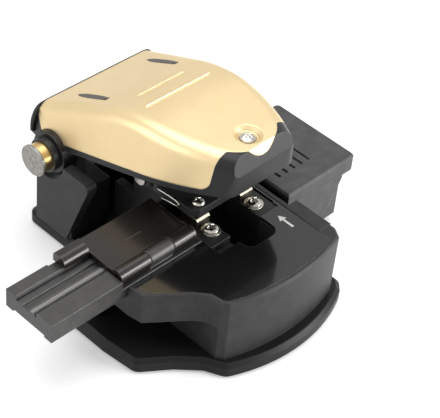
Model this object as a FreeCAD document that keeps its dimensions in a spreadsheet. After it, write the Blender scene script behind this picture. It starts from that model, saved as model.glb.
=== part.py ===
import FreeCAD, Part
import math
import os
import re
import Sketcher

# Fibre cleaver: a base with a sprung clamp lever, a blade carriage on a rail, a fibre tray with a
# small lid, and a scrap bin.  Millimetres, +Z up.  x = 0 is the blade's plane, y = 0 is the line
# that the fibre lies on, and z = 0 is the surface that the cleaver stands on.

doc = FreeCAD.newDocument("FibreCleaver")
sheet = doc.addObject("Spreadsheet::Sheet", "Sizes")

SIZES = {
    # clearances
    "seat_gap": 0.1, "press_gap": 0.02, "run_gap": 0.05, "side_gap": 0.3,
    # base plate and anti-slip pad
    "grip_thickness": 0.8, "plate_top": 5.0, "plate_front": 34.0, "plate_back": 54.0,
    "plate_margin": 4.0, "plate_arc": 56.0, "corner_cut": 3.0, "corner_round": 3.2, "edge_bevel": 1.3,
    "lobe_left": 47.5, "lobe_back": 16.0, "lobe_front": 15.8, "lobe_knee_x": 37.3, "lobe_knee_y": 22.0,
    "grip_left": 24.0, "grip_right": 16.0, "grip_front": 28.0, "grip_back": 48.0,
    # housing
    "body_left": 28.0, "body_right": 20.0, "body_front": 32.0, "body_back": 34.0, "body_arc": 68.0,
    "deck_height": 27.0, "deck_thickness": 1.0, "deck_rim": 1.2, "rim_bevel": 0.6, "deck_back": 26.0,
    "step_drop": 8.0, "channel_wall": 3.0,
    "wing_left": 43.6, "wing_back": 13.6, "wing_depth": 10.0, "wing_front": 13.7, "wing_knee_x": 31.4,
    "wing_knee_y": 22.2, "wing_post_y": 5.0, "wing_post": 6.0,
    "channel_width": 12.6, "channel_front": 19.5, "channel_depth": 19.0, "channel_round": 3.2,
    "seam_x": 14.8, "seam_gap": 0.35, "rail_front": 27.0, "rail_depth": 10.0, "inlet_x": 16.5,
    "inlet_front": 13.4, "inlet_back": 20.0, "inlet_depth": 6.0,
    # fasteners
    "screw_radius": 1.5, "screw_head_radius": 2.6, "screw_head": 1.6, "screw_length": 9.0,
    "crown": 0.5, "screw_left": 20.0, "screw_right": 12.0, "screw_front": 24.0, "screw_back": 41.5,
    # pads that the fibre lies on
    "pad_offset": 9.0, "block_width": 7.4, "block_front": 11.5, "block_back": 4.0,
    "notch_depth": 2.8, "notch_front": 15.0, "fibre_rise": 2.7, "pad_height": 3.1, "pad_width": 5.2,
    "pad_depth": 6.0,
    "tab_thickness": 0.8, "tab_depth": 8.6,
    "pad_screw_y": 6.2, "pad_screw_radius": 1.1, "pad_head_radius": 2.3, "pad_head": 1.5,
    "washer_radius": 2.9, "washer_thickness": 0.5, "pad_screw_length": 4.0,
    # fibre tray and its lid
    "tray_left": 70.8, "tray_right": 14.6, "tray_front": 8.1, "tray_back": 10.8, "tray_rise": 0.3,
    "tray_thickness": 6.3, "groove_depth": 1.5, "groove_width": 2.6, "ridge_width": 2.4, "slit_width": 0.6,
    "slot_width": 1.6, "shelf_width": 1.6, "shelf_drop": 0.7, "ridge_drop": 0.4, "under_slot": 0.8,
    "tray_jog": 0.6, "tray_jog_x": 56.4,
    "lid_left": 45.0, "lid_right": 16.4, "lid_front": 3.4, "lid_back": 12.2, "lid_thickness": 2.0,
    "lid_sink": 0.8, "lid_line": 6.0, "lid_line_y": 2.8, "lid_line_depth": 0.3, "lid_line_width": 0.4,
    "knuckle_radius": 2.3, "knuckle_y": 5.2, "knuckle_rise": 0.7, "knuckle_start": 33.6,
    "knuckle_end": 25.0,
    "lid_pin_radius": 0.9, "tab_left": 54.0, "tab_front": 6.0, "tab_back": 11.0, "tab_rise": 3.3,
    "magnet_radius": 2.0, "magnet_thickness": 1.0, "lid_pad_width": 3.0, "lid_pad_thickness": 0.6,
    # hinge
    "hinge_y": 45.5, "hinge_z": 32.0, "shaft_radius": 2.5, "ear_outer": 27.6, "ear_thickness": 3.8,
    "ear_front": 35.5, "ear_nose": 27.0, "ear_top": 31.3, "ear_back": 49.3, "lug_outer": 20.5,
    "lug_thickness": 4.0, "lug_radius": 6.0, "web_top": 22.0, "web_inner": 11.5, "boss_outer": 26.2,
    "boss_radius": 6.8,
    "boss_gap": 1.2, "hub_length": 2.1, "hub_radius": 5.5, "bush_length": 3.0, "bush_radius": 4.6,
    "disc_thickness": 1.2, "disc_radius": 5.1, "spring_wire": 0.7, "spring_turns": 4,
    "wall_top": 18.0, "wall_depth": 4.0,
    # lever shell
    "lever_ref": 30.0, "lever_width": 52.0, "lever_back": 57.0, "lever_shoulder_y": 18.0,
    "lever_arc": 72.0, "lever_front": 21.2, "nose_front": 15.7, "nose_round": 6.0, "nose_flare": 50.0,
    "lever_draft": 12.0,
    "top_height": 59.2, "top_knee": 20.8, "top_back": 42.2, "top_bend": 50.0,
    "nose_crease_drop": 5.5, "nose_top_y": 13.6, "rim_back_y": 47.0, "rim_back_z": 33.6, "rim_mid_y": 14.4,
    "rim_front_y": 12.0, "rim_mid_z": 42.2,
    "rim_front_z": 47.2, "shoulder_round": 5.0, "cover_thickness": 1.2, "shell_thickness": 1.6,
    "band": 1.7, "cover_front": 9.8, "cover_corner": 3.0, "cover_bulge": 5.0, "cover_bulge_width": 20.0,
    "cover_back": 54.6,
    "cover_round": 6.0, "vent_offset": 13.9, "vent_width": 2.0, "vent_bow": 60.0, "vent_front": 34.0,
    "vent_back": 46.8,
    "rib_wide": 0.5, "rib_rise": 0.3, "rib_one_y": 26.8, "rib_one_half": 9.0, "rib_two_y": 19.8,
    "rib_two_half": 12.7, "dish_radius": 4.3, "dish_depth": 1.5, "cover_screw_y": 8.3,
    "cover_screw_radius": 1.2, "cover_head_radius": 2.4, "cover_head": 1.2, "cover_screw_length": 7.0,
    "post_radius": 3.4,
    # clamp arm
    "bracket_half": 14.0, "bracket_back": 25.0, "bracket_z": 41.5,
    "bracket_thickness": 2.5, "cheek": 2.6, "cheek_half_depth": 3.4, "bracket_post_x": 8.0,
    "bracket_post_y": 20.5, "arm_pin_y": 18.0, "arm_pin_rise": 0.7, "arm_pin_radius": 1.5,
    "arm_pin_head": 2.4, "arm_pin_head_length": 1.4, "arm_half": 15.2, "arm_front": 5.0,
    "arm_shoulder_y": 12.0, "arm_rise": 3.9, "arm_thickness": 2.6, "arm_hub": 2.9,
    "upper_pad_thickness": 1.0, "upper_pad_width": 5.0, "upper_pad_depth": 5.4,
    "arm_screw_x": 11.5, "arm_screw_y": 2.6, "arm_screw_radius": 1.0, "arm_screw_head": 1.9,
    "arm_spring_x": 7.0, "arm_lift": 6.0, "arm_spring_radius": 1.9, "arm_spring_wire": 0.5,
    "anvil_half": 1.2, "anvil_depth": 4.0, "anvil_rise": 2.7, "anvil_height": 1.6, "stem_radius": 0.9,
    "anvil_lift": 0.8, "cap_radius": 1.8, "cap_thickness": 0.8,
    # blade carriage
    "carriage_y": 14.0, "carriage_length": 21.6, "carriage_half": 5.8, "carriage_drop": 3.7,
    "carriage_rise": 6.0, "carriage_deck": 2.0, "carriage_round": 2.7, "guide_width": 6.0,
    "guide_height": 3.0,
    "guide_front": 18.5, "guide_back": 33.0, "slider_half": 5.0, "slider_length": 18.0,
    "wheel_radius": 8.0, "wheel_thickness": 1.0, "wheel_drop": 0.1, "axle_radius": 2.0,
    "holder_radius": 4.0, "holder_thickness": 0.6, "axle_head_radius": 3.2, "axle_head": 1.6,
    "set_screw_radius": 1.1, "set_screw_y": 7.6, "set_screw_rise": 0.5,
    # scrap bin
    "bin_right": 47.5, "bin_front": 8.2, "bin_back": 20.8, "bin_floor": 2.6, "bin_drop": 0.4,
    "bin_wall": 1.2, "bin_inner_floor": 6.6, "panel_thickness": 1.2, "panel_foot": 38.7,
    "panel_head": 46.9, "panel_knee": 18.4, "bin_lid_left": 19.3, "bin_lid_right": 50.0,
    "bin_lid_front": 11.0, "bin_lid_back": 22.5, "bin_lid_rise": 0.3, "bin_lid_round": 1.8,
    "bin_lid_bevel": 0.6, "bin_skirt": 5.5,
    "bin_skirt_wall": 1.3, "bin_lid_thickness": 2.0, "grip_slot": 1.2, "grip_pitch": 3.25,
    "grip_slot_depth": 0.8, "grip_slot_length": 9.0, "grip_slot_front": 3.3, "grip_slots": 5,
    "grip_slot_x": 23.6, "pin_radius": 1.5, "pin_reach": 4.0, "pin_depth": 5.0, "pin_y": 3.6,
    "pin_pitch": 20.0, "pin_z": 13.0,
}

# Heights that follow from the sizes above: the fibre's line hangs on the deck, and the pads, the
# tray, the arm and the carriage hang on the fibre's line.
HEIGHTS = {
    "step_height": "deck_height - step_drop", "wing_floor": "deck_height - wing_depth",
    "channel_floor": "deck_height - channel_depth", "rail_floor": "deck_height - rail_depth",
    "inlet_floor": "deck_height - inlet_depth", "notch_floor": "deck_height - notch_depth",
    "fibre_height": "deck_height + fibre_rise", "block_top": "fibre_height - pad_height",
    "tray_top": "fibre_height + tray_rise", "lid_seat": "tray_top - lid_sink",
    "knuckle_z": "lid_seat + knuckle_rise", "tab_top": "tray_top + tab_rise",
    "arm_floor": "fibre_height + arm_rise", "arm_pin_z": "arm_floor + arm_pin_rise",
    "anvil_tip": "fibre_height + anvil_rise", "carriage_top": "fibre_height - carriage_drop",
    "carriage_floor": "channel_floor + carriage_rise", "bin_lid_top": "deck_height + bin_lid_rise",
    "bin_top": "bin_lid_top - bin_lid_thickness - bin_drop",
    "nose_crease_z": "top_height - nose_crease_drop",
}

for row, (alias, size) in enumerate([*SIZES.items(), *HEIGHTS.items()], start=1):
    sheet.set(f"A{row}", alias)
    sheet.set(f"B{row}", f"={size}")
    sheet.setAlias(f"B{row}", alias)
doc.recompute()

WORD = re.compile(r"[a-z_][a-z_0-9]*")
NAMES = {*SIZES, *HEIGHTS}
AXIS_TURN = {
    "X": FreeCAD.Rotation(FreeCAD.Vector(0, 1, 0), 90),
    "Y": FreeCAD.Rotation(FreeCAD.Vector(1, 0, 0), -90),
    "Z": FreeCAD.Rotation(),
}
SIDES = {"left": -1, "right": 1}
FAR = "120"     # longer than any piece, for cuts that go right through
nodes = []


# --- helpers -----------------------------------------------------------------------------------

def linked(formula):
    """The formula with each size's name pointing at its cell in the sheet."""
    return WORD.sub(lambda word: f"Sizes.{word[0]}" if word[0] in NAMES else word[0], str(formula))


def value(formula):
    """The number that a formula gives with the sizes as they are."""
    result = sheet.evalExpression(linked(formula))
    return float(getattr(result, "Value", result))


def bind(thing, prop, formula):
    thing.setExpression(prop, linked(formula))


def place(thing, position):
    for axis, formula in zip("xyz", position):
        bind(thing, "Placement.Base." + axis, formula)


def node(thing, label):
    """Marks an object as one of the cleaver's pieces."""
    thing.Label = label
    nodes.append(thing)
    return thing


def mirrored(side, near, far):
    """The span from near to far on the right side, or its mirror image on the left."""
    if side > 0:
        return near, far
    return f"-({far})", f"-({near})"


def box(name, x_span, y_span, z_span):
    block = doc.addObject("Part::Box", name)
    for prop, (low, high) in zip(("Length", "Width", "Height"), (x_span, y_span, z_span)):
        bind(block, prop, f"({high}) - ({low})")
    place(block, (x_span[0], y_span[0], z_span[0]))
    return block


def along(axis, across, start):
    """A point from its place on the axis and its two places across it, in X, Y, Z order."""
    point = list(across)
    point.insert("XYZ".index(axis), start)
    return point


def rod(name, axis, across, span, radius):
    bar = doc.addObject("Part::Cylinder", name)
    bar.Placement = FreeCAD.Placement(FreeCAD.Vector(), AXIS_TURN[axis])
    bind(bar, "Radius", radius)
    bind(bar, "Height", f"({span[1]}) - ({span[0]})")
    place(bar, along(axis, across, span[0]))
    return bar


def cone(name, axis, across, span, radius_one, radius_two):
    taper = doc.addObject("Part::Cone", name)
    taper.Placement = FreeCAD.Placement(FreeCAD.Vector(), AXIS_TURN[axis])
    bind(taper, "Radius1", radius_one)
    bind(taper, "Radius2", radius_two)
    bind(taper, "Height", f"({span[1]}) - ({span[0]})")
    place(taper, along(axis, across, span[0]))
    return taper


def fuse(name, *shapes):
    joined = doc.addObject("Part::MultiFuse", name)
    joined.Shapes = list(shapes)
    joined.Refine = True
    return joined


def cut(name, base, *tools):
    result = doc.addObject("Part::Cut", name)
    result.Base = base
    result.Tool = tools[0] if len(tools) == 1 else fuse(name + "_tools", *tools)
    result.Refine = True
    return result


def common(name, *shapes):
    shared = doc.addObject("Part::MultiCommon", name)
    shared.Shapes = list(shapes)
    shared.Refine = True
    return shared


def group(name, members):
    """Several separate solids that are one piece's copies, such as a set of screws."""
    copies = doc.addObject("Part::Compound", name)
    copies.Links = members
    return copies


def origin_plane(body, role):
    return next(plane for plane in body.Origin.OriginFeatures if plane.Role == role + "_Plane")


def arc_edge(start, end, radius, hollow):
    """The short arc from start to end; it bows outwards unless it is hollow."""
    chord = end - start
    side = -1 if hollow else 1
    rise = math.sqrt(radius ** 2 - (chord.Length / 2) ** 2)
    normal = FreeCAD.Vector(-chord.y, chord.x, 0).normalize()
    centre = (start + end) / 2 + normal * (rise * side)
    first, last = (end, start) if hollow else (start, end)
    angle_one = math.atan2(first.y - centre.y, first.x - centre.x)
    angle_two = math.atan2(last.y - centre.y, last.x - centre.x)
    if angle_two < angle_one:
        angle_two += 2 * math.pi
    circle = Part.Circle(centre, FreeCAD.Vector(0, 0, 1), radius)
    return Part.ArcOfCircle(circle, angle_one, angle_two)


def sketch_on(body, name, plane, offset, loop):
    """A closed, fully constrained outline.  A point is (x, y), or (x, y, radius) where an arc leads
    to the next point, or (x, y, radius, "hollow") where that arc bows inwards."""
    sketch = body.newObject("Sketcher::SketchObject", name)
    sketch.AttachmentSupport = (origin_plane(body, plane), [""])
    sketch.MapMode = "FlatFace"
    bind(sketch, "AttachmentOffset.Base.z", offset)
    spots = [FreeCAD.Vector(value(point[0]), value(point[1]), 0) for point in loop]
    ends = []
    for index, point in enumerate(loop):
        start, end = spots[index], spots[(index + 1) % len(spots)]
        hollow = len(point) == 4
        if len(point) == 2:
            edge = Part.LineSegment(start, end)
        else:
            edge = arc_edge(start, end, value(point[2]), hollow)
        sketch.addGeometry(edge, False)
        ends.append((2, 1) if hollow else (1, 2))
    for index, point in enumerate(loop):
        following = (index + 1) % len(loop)
        sketch.addConstraint(Sketcher.Constraint(
            "Coincident", index, ends[index][1], following, ends[following][0]))
        for kind, formula, axis in (("DistanceX", point[0], -2), ("DistanceY", point[1], -1)):
            if str(formula) == "0":
                sketch.addConstraint(Sketcher.Constraint("PointOnObject", index, ends[index][0], axis))
                continue
            number = sketch.addConstraint(Sketcher.Constraint(
                kind, -1, 1, index, ends[index][0], value(formula)))
            bind(sketch, f"Constraints[{number}]", formula)
        if len(point) > 2:
            number = sketch.addConstraint(Sketcher.Constraint("Radius", index, value(point[2])))
            bind(sketch, f"Constraints[{number}]", point[2])
    return sketch


def prism(name, plane, span, loop, draft=None):
    """A body padded from an outline: XY outlines rise along Z, XZ along Y and YZ along X."""
    body = doc.addObject("PartDesign::Body", name)
    offset = f"-({span[1]})" if plane == "XZ" else span[0]
    sketch = sketch_on(body, name + "_outline", plane, offset, loop)
    pad = body.newObject("PartDesign::Pad", name + "_pad")
    pad.Profile = sketch
    bind(pad, "Length", f"({span[1]}) - ({span[0]})")
    if draft:
        bind(pad, "TaperAngle", f"-({draft})")
    sketch.Visibility = False
    body.Tip = pad
    return body


def turned(name, axis, centre, profile):
    """A body turned about an axis; each profile point is (radius, distance along the axis)."""
    body = doc.addObject("PartDesign::Body", name)
    sketch = sketch_on(body, name + "_outline", "XZ", "0", profile)
    spin = body.newObject("PartDesign::Revolution", name + "_turn")
    spin.Profile = sketch
    spin.ReferenceAxis = (sketch, ["V_Axis"])
    spin.Angle = 360
    body.Tip = spin
    body.Placement = FreeCAD.Placement(FreeCAD.Vector(), AXIS_TURN[axis])
    place(body, centre)
    return body


def edges_where(body, test):
    doc.recompute()
    edges = body.Tip.Shape.Edges
    return [f"Edge{number}" for number, edge in enumerate(edges, start=1) if test(edge)]


def dress(body, kind, size, test):
    """Rounds or bevels the edges that pass the test."""
    names = edges_where(body, test)
    shape = body.Tip
    feature = body.newObject("PartDesign::" + kind, f"{body.Name}_{kind.lower()}_{len(body.Group)}")
    feature.Base = (shape, names)
    bind(feature, "Radius" if kind == "Fillet" else "Size", size)
    body.Tip = feature
    return feature


def upright(edge):
    low, high = edge.BoundBox.ZMin, edge.BoundBox.ZMax
    return edge.BoundBox.XLength < 1e-4 and edge.BoundBox.YLength < 1e-4 and high - low > 1e-4


def level_at(formula):
    """A test for edges that lie flat at a height."""
    height = value(formula)
    return lambda edge: abs(edge.BoundBox.ZMin - height) < 1e-4 and abs(edge.BoundBox.ZMax - height) < 1e-4


def screw(name, spot, shank, head, radius, head_radius):
    """An upright screw as a plain shank and a plain head, each a span of heights."""
    return fuse(name, rod(name + "_shank", "Z", spot, shank, radius),
                rod(name + "_head", "Z", spot, head, head_radius))


def spring(name, axis, centre, radius, wire, length):
    """A close-wound spring as the sleeve that its coils fill; it starts at its centre point."""
    return turned(name, axis, centre, [
        (f"{radius} - {wire} / 2", "0"), (f"{radius} + {wire} / 2", "0"),
        (f"{radius} + {wire} / 2", length), (f"{radius} - {wire} / 2", length),
    ])


# --- base plate, anti-slip pad and bottom screws -----------------------------------------------

CORNERS = {
    "front_left": ("-screw_left", "-screw_front"), "front_right": ("screw_right", "-screw_front"),
    "back_left": ("-screw_left", "screw_back"), "back_right": ("screw_left", "screw_back"),
}


def bottom_holes(name, radius, low, high):
    return [rod(f"{name}_{corner}", "Z", spot, (low, high), radius) for corner, spot in CORNERS.items()]


def base_plate():
    right = "(body_right + plate_margin)"
    outline = [
        ("-body_left", "-plate_front", "plate_arc"),
        (f"{right} - corner_cut", "-plate_front"),
        (right, "-plate_front + corner_cut"),
        (right, "bin_lid_back + side_gap"),
        ("ear_outer + side_gap", "bin_lid_back + plate_margin"),
        ("ear_outer + side_gap", "plate_back"),
        ("-ear_outer + side_gap", "plate_back"),
        ("-ear_outer + side_gap", "lobe_back"),
        ("-lobe_left", "lobe_back"),
        ("-lobe_left", "-lobe_front + 4 * corner_cut"),
        ("-lobe_left + edge_bevel", "-lobe_front"),
        ("-lobe_knee_x", "-lobe_knee_y"),
        ("-body_left - corner_cut", "-plate_front + 2 * corner_cut"),
    ]
    body = prism("base_plate_body", "XY", ("grip_thickness", "plate_top"), outline)
    dress(body, "Fillet", "corner_round", upright)
    dress(body, "Chamfer", "edge_bevel", level_at("plate_top"))
    clear = "screw_radius + press_gap"
    heads = bottom_holes("plate_head_hole", "screw_head_radius + press_gap", "0",
                         "grip_thickness + screw_head")
    shanks = bottom_holes("plate_shank_hole", clear, "0", "plate_top + 1")
    node(cut("base_plate", body, *heads, *shanks), "base_plate")


def anti_slip_pad():
    outline = [
        ("-grip_left", "-grip_front"), ("grip_right", "-grip_front"),
        ("grip_right", "grip_back"), ("-grip_left", "grip_back"),
    ]
    body = prism("anti_slip_pad_body", "XY", ("0", "grip_thickness"), outline)
    holes = bottom_holes("grip_hole", "screw_head_radius + side_gap", "-1", "grip_thickness + 1")
    node(cut("anti_slip_pad", body, *holes), "anti_slip_pad")


def bottom_screws():
    screws = []
    head_top = "grip_thickness + screw_head"
    for corner, (x, y) in CORNERS.items():
        screws.append(screw(f"bottom_screw_{corner}", (x, y), (head_top, f"{head_top} + screw_length"),
                            ("grip_thickness", head_top), "screw_radius", "screw_head_radius"))
    node(group("bottom_screws", screws), "bottom_screws")


# --- housing, deck plate and bin rail ----------------------------------------------------------

CHANNEL_SIDE = "-(channel_width / 2 + channel_wall)"


def housing_outline(inset):
    """The deck's outline: a bowed front, and a wing on the left that carries the tray."""
    return [
        (f"-body_left + 1.5 + {inset} * 0.7", f"-body_front + 0.5 + {inset}", "body_arc"),
        (f"body_right - 2 - {inset} * 0.7", f"-body_front - 0.3 + {inset}"),
        (f"body_right - {inset}", f"-body_front + corner_cut + {inset} * 0.5"),
        (f"body_right - {inset}", f"deck_back - {inset}"),
        (f"{CHANNEL_SIDE} + {inset}", f"deck_back - {inset}"),
        (f"{CHANNEL_SIDE} + {inset}", f"wing_back - {inset}"),
        (f"-wing_left + {inset}", f"wing_back - {inset}"),
        (f"-wing_left + {inset}", "-wing_front + 4.7"),
        (f"-wing_left + 0.8 + {inset}", f"-wing_front + {inset} * 0.6"),
        (f"-wing_knee_x + {inset} * 0.4", f"-wing_knee_y + {inset}"),
        (f"-body_left - 0.6 + {inset}", f"-body_front + 6.5 + {inset} * 0.4"),
        (f"-body_left + {inset}", f"-body_front + 2.5 + {inset} * 0.4"),
    ]


def deck_blank():
    slab = prism("deck_slab", "XY", ("deck_height - deck_thickness", "deck_height"),
                 housing_outline("deck_rim"))
    left_of_seam = box("deck_left_of_seam", ("-100", "seam_x"), ("-100", "100"), ("0", "100"))
    return common("deck_blank", slab, left_of_seam)


def tray_channel():
    return box(
        "tray_channel", ("-wing_left - 1", "-tray_right + seat_gap"),
        ("-tray_front - seat_gap", "tray_back + seat_gap"),
        ("tray_top - tray_thickness", "deck_height + 1"))


def blade_pocket():
    half = "channel_width / 2"
    outline = [
        (f"-{half}", "-channel_front"), (half, "-channel_front"),
        (half, "body_back + 1"), (f"-{half}", "body_back + 1"),
    ]
    pocket = prism("blade_pocket", "XY", ("channel_floor", "deck_height + 1"), outline)
    front = value("-channel_front")
    dress(pocket, "Fillet", "channel_round",
          lambda edge: upright(edge) and abs(edge.BoundBox.YMin - front) < 1e-4)
    return pocket


def pad_notches():
    """Low places in the deck round the two pad blocks, open to the blade's pocket."""
    notches = []
    for label, side in SIDES.items():
        front = "-notch_front" if side < 0 else "-block_front + 2"
        notches.append(box(
            f"pad_notch_{label}",
            mirrored(side, "channel_width / 2 - 1", "channel_width / 2 + block_width + 0.5"),
            (front, "block_back + seat_gap"), ("notch_floor", "deck_height + 1")))
        notches.append(box(
            f"pad_seat_{label}",
            mirrored(side, "channel_width / 2 - 1", "channel_width / 2 + block_width + seat_gap"),
            ("-block_front - seat_gap", "block_back + seat_gap"), ("rail_floor", "deck_height + 1")))
    return notches


def housing():
    main = [
        ("-body_left + 1.5", "-body_front + 0.5", "body_arc"),
        ("body_right - 2", "-body_front - 0.3"),
        ("body_right", "-body_front + corner_cut"),
        ("body_right", "deck_back"),
        (CHANNEL_SIDE, "deck_back"),
        (CHANNEL_SIDE, "wing_back"),
        ("-body_left", "wing_back"),
        ("-body_left", "-body_front + 2.5"),
    ]
    lower = prism("housing_lower", "XY", ("plate_top", "wing_floor + 1"), main)
    upper = prism("housing_upper", "XY", ("wing_floor", "deck_height"), housing_outline("0"))
    dress(upper, "Chamfer", "rim_bevel", level_at("deck_height"))
    rear = box("housing_rear", (CHANNEL_SIDE, "body_right"), ("deck_back - 1", "body_back"),
               ("plate_top", "step_height"))
    post = box("housing_wing_post", ("-wing_left + 1", "-body_left + 1"),
               ("wing_post_y", "wing_post_y + wing_post"), ("plate_top", "wing_floor + 1"))
    whole = fuse("housing_block", lower, upper, rear, post)
    rail_gap = box("rail_seat", ("seam_x", "body_right + 1"), ("-rail_front - seat_gap", "deck_back + 1"),
                   ("rail_floor", "deck_height + 1"))
    inlet = box("bin_inlet", ("inlet_x", "body_right + 1"), ("-inlet_front", "inlet_back"),
                ("rail_floor - 1", "deck_height + 1"))
    deck = doc.getObject("deck_blank")
    screws = bottom_holes("housing_screw_hole", "screw_radius + press_gap", "plate_top - 1",
                          "grip_thickness + screw_head + screw_length + 0.5")
    pins = [rod(f"housing_pin_hole_{number}", "X", (f"-pin_y + {number} * pin_pitch", "pin_z"),
                ("body_right - pin_depth - 0.2", "body_right + 1"), "pin_radius + press_gap")
            for number in range(2)]
    hollows = [deck, doc.getObject("tray_channel"), doc.getObject("blade_pocket"), rail_gap, inlet]
    holes = [*pad_screw_holes("rail_floor - pad_screw_length"), *tray_screw_holes("housing")]
    body = cut("housing", whole, *hollows, *doc_notches, *screws, *pins, *holes)
    node(body, "housing")


def pad_screw_holes(floor):
    return [rod(f"pad_screw_hole_{label}", "Z", (f"{side} * pad_offset", "-pad_screw_y"),
                (floor, "rail_floor + 1"), "pad_screw_radius + press_gap")
            for label, side in SIDES.items()]


TRAY_SCREWS = {"one": "-tray_right - 8", "two": "-tray_right - 20"}


def tray_screw_holes(owner):
    return [rod(f"{owner}_tray_screw_hole_{name}", "Z", (x, "0"),
                ("wing_floor - 1", "lid_seat + 1"), "pad_screw_radius + press_gap")
            for name, x in TRAY_SCREWS.items()]


def deck_plate():
    openings = [doc.getObject("tray_channel"), doc.getObject("blade_pocket"), *doc_notches]
    node(cut("deck_plate", doc.getObject("deck_blank"), *openings), "deck_plate")


def bin_rail():
    wide = box("bin_rail_wide", ("seam_x + seam_gap", "body_right"), ("-rail_front", "-inlet_front"),
               ("rail_floor", "deck_height"))
    slim = box("bin_rail_slim", ("seam_x + seam_gap", "inlet_x"), ("-inlet_front - 1", "deck_back"),
               ("rail_floor", "deck_height"))
    node(fuse("bin_rail", wide, slim), "bin_rail")


# --- pads under the fibre ----------------------------------------------------------------------

def fibre_rests():
    screws = []
    washers = []
    for label, side in SIDES.items():
        x = f"{side} * pad_offset"
        block = box(f"pad_block_{label}_body",
                    mirrored(side, "channel_width / 2", "channel_width / 2 + block_width"),
                    ("-block_front", "block_back"), ("rail_floor", "block_top"))
        hole = rod(f"pad_block_{label}_hole", "Z", (x, "-pad_screw_y"), ("rail_floor - 1", "block_top + 1"),
                   "pad_screw_radius + press_gap")
        node(cut(f"pad_block_{label}", block, hole), f"pad_block_{label}")
        rest = prism(f"lower_pad_{label}_body", "YZ", (f"{x} - pad_width / 2", f"{x} + pad_width / 2"), [
            ("-pad_depth / 2", "block_top"), ("pad_depth / 2", "block_top"),
            ("pad_depth / 2", "fibre_height - 0.6"), ("pad_depth / 2 - 0.6", "fibre_height"),
            ("-pad_depth / 2 + 0.6", "fibre_height"), ("-pad_depth / 2", "fibre_height - 0.6"),
        ])
        node(rest, f"lower_pad_{label}")
        washers.append(turned(f"pad_washer_{label}", "Z", (x, "-pad_screw_y", "block_top"), [
            ("pad_screw_radius + press_gap", "0"), ("washer_radius", "0"),
            ("washer_radius", "washer_thickness"), ("pad_screw_radius + press_gap", "washer_thickness"),
        ]))
        seat = "block_top + washer_thickness"
        screws.append(screw(f"pad_screw_{label}", (x, "-pad_screw_y"),
                            ("rail_floor - pad_screw_length + 0.2", seat),
                            (seat, f"{seat} + pad_head"), "pad_screw_radius", "pad_head_radius"))
    node(group("pad_washers", washers), "pad_washers")
    node(group("pad_screws", screws), "pad_screws")


# --- fibre tray, its lid and the lid's hinge ---------------------------------------------------

def tray_section():
    """The tray's cross-section, with the long grooves that hold the fibre."""
    floor = "tray_top - tray_thickness"
    groove = "tray_top - groove_depth"
    ridge = "tray_top - ridge_drop"
    shelf = "tray_top - shelf_drop"
    back = "ridge_width / 2 + groove_width"
    return [
        ("-tray_front", floor), ("-tray_front + 3", floor), ("-tray_front + 3", f"{floor} + under_slot"),
        ("tray_back - 3", f"{floor} + under_slot"), ("tray_back - 3", floor), ("tray_back", floor),
        ("tray_back", "tray_top"),
        (f"{back} + shelf_width + slot_width", "tray_top"),
        (f"{back} + shelf_width + slot_width * 0.6", groove), (f"{back} + shelf_width", groove),
        (f"{back} + shelf_width", shelf), (back, shelf), (f"{back} - 0.4", groove),
        ("ridge_width / 2", groove), ("ridge_width / 2", ridge), ("0", ridge + " - 0.3"),
        ("-ridge_width / 2", ridge), ("-ridge_width / 2", groove),
        ("-ridge_width / 2 - slit_width", groove), ("-ridge_width / 2 - slit_width", "tray_top"),
        ("-tray_front", "tray_top"),
    ]


def fibre_tray():
    profile = prism("tray_profile", "YZ", ("-tray_left", "-tray_right"), tray_section())
    lid_seat = box("tray_lid_seat", ("-lid_left - side_gap", "-tray_right + 1"),
                   ("-tray_front - 1", "tray_back + 1"),
                   ("lid_seat", "tray_top + 1"))
    hinge_bed = box("tray_hinge_bed", ("-lid_left - side_gap", "-tray_right + 1"),
                    ("-tray_front - 1", "-knuckle_y + knuckle_radius + side_gap"),
                    ("knuckle_z - knuckle_radius - side_gap", "tray_top + 1"))
    jog = box("tray_jog_cut", ("-tray_jog_x", "-lid_left"), ("tray_back - tray_jog", "tray_back + 1"),
              ("tray_top - 1.6", "tray_top + 1"))
    holes = tray_screw_holes("tray")
    heads = [rod(f"tray_screw_sink_{name}", "Z", (x, "0"),
                 ("lid_seat - groove_depth - pad_head", "lid_seat + 1"),
                 "pad_head_radius + seat_gap") for name, x in TRAY_SCREWS.items()]
    slab = cut("tray_slab", profile, lid_seat, hinge_bed, jog, *holes, *heads)
    knuckle = rod("tray_knuckle", "X", ("-knuckle_y", "knuckle_z"), ("-knuckle_start", "-knuckle_end"),
                  "knuckle_radius")
    foot = box("tray_knuckle_foot", ("-knuckle_start", "-knuckle_end"),
               ("-knuckle_y - knuckle_radius * 0.7", "-knuckle_y + knuckle_radius * 0.7"),
               ("knuckle_z - knuckle_radius - 1", "knuckle_z - knuckle_radius * 0.7"))
    bore = rod("tray_knuckle_bore", "X", ("-knuckle_y", "knuckle_z"),
               ("-knuckle_start - 1", "-knuckle_end + 1"),
               "lid_pin_radius + press_gap")
    node(cut("fibre_tray", fuse("tray_with_knuckle", slab, knuckle, foot), bore), "fibre_tray")
    screws = []
    for name, x in TRAY_SCREWS.items():
        seat = "lid_seat - groove_depth - pad_head"
        screws.append(screw(f"tray_screw_{name}", (x, "0"), ("wing_floor + 1", seat),
                            (seat, f"{seat} + pad_head - 0.2"), "pad_screw_radius", "pad_head_radius"))
    node(group("tray_screws", screws), "tray_screws")
    node(rod("lid_pin", "X", ("-knuckle_y", "knuckle_z"), ("-lid_left + side_gap", "-lid_right - side_gap"),
             "lid_pin_radius"), "lid_pin")


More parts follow.
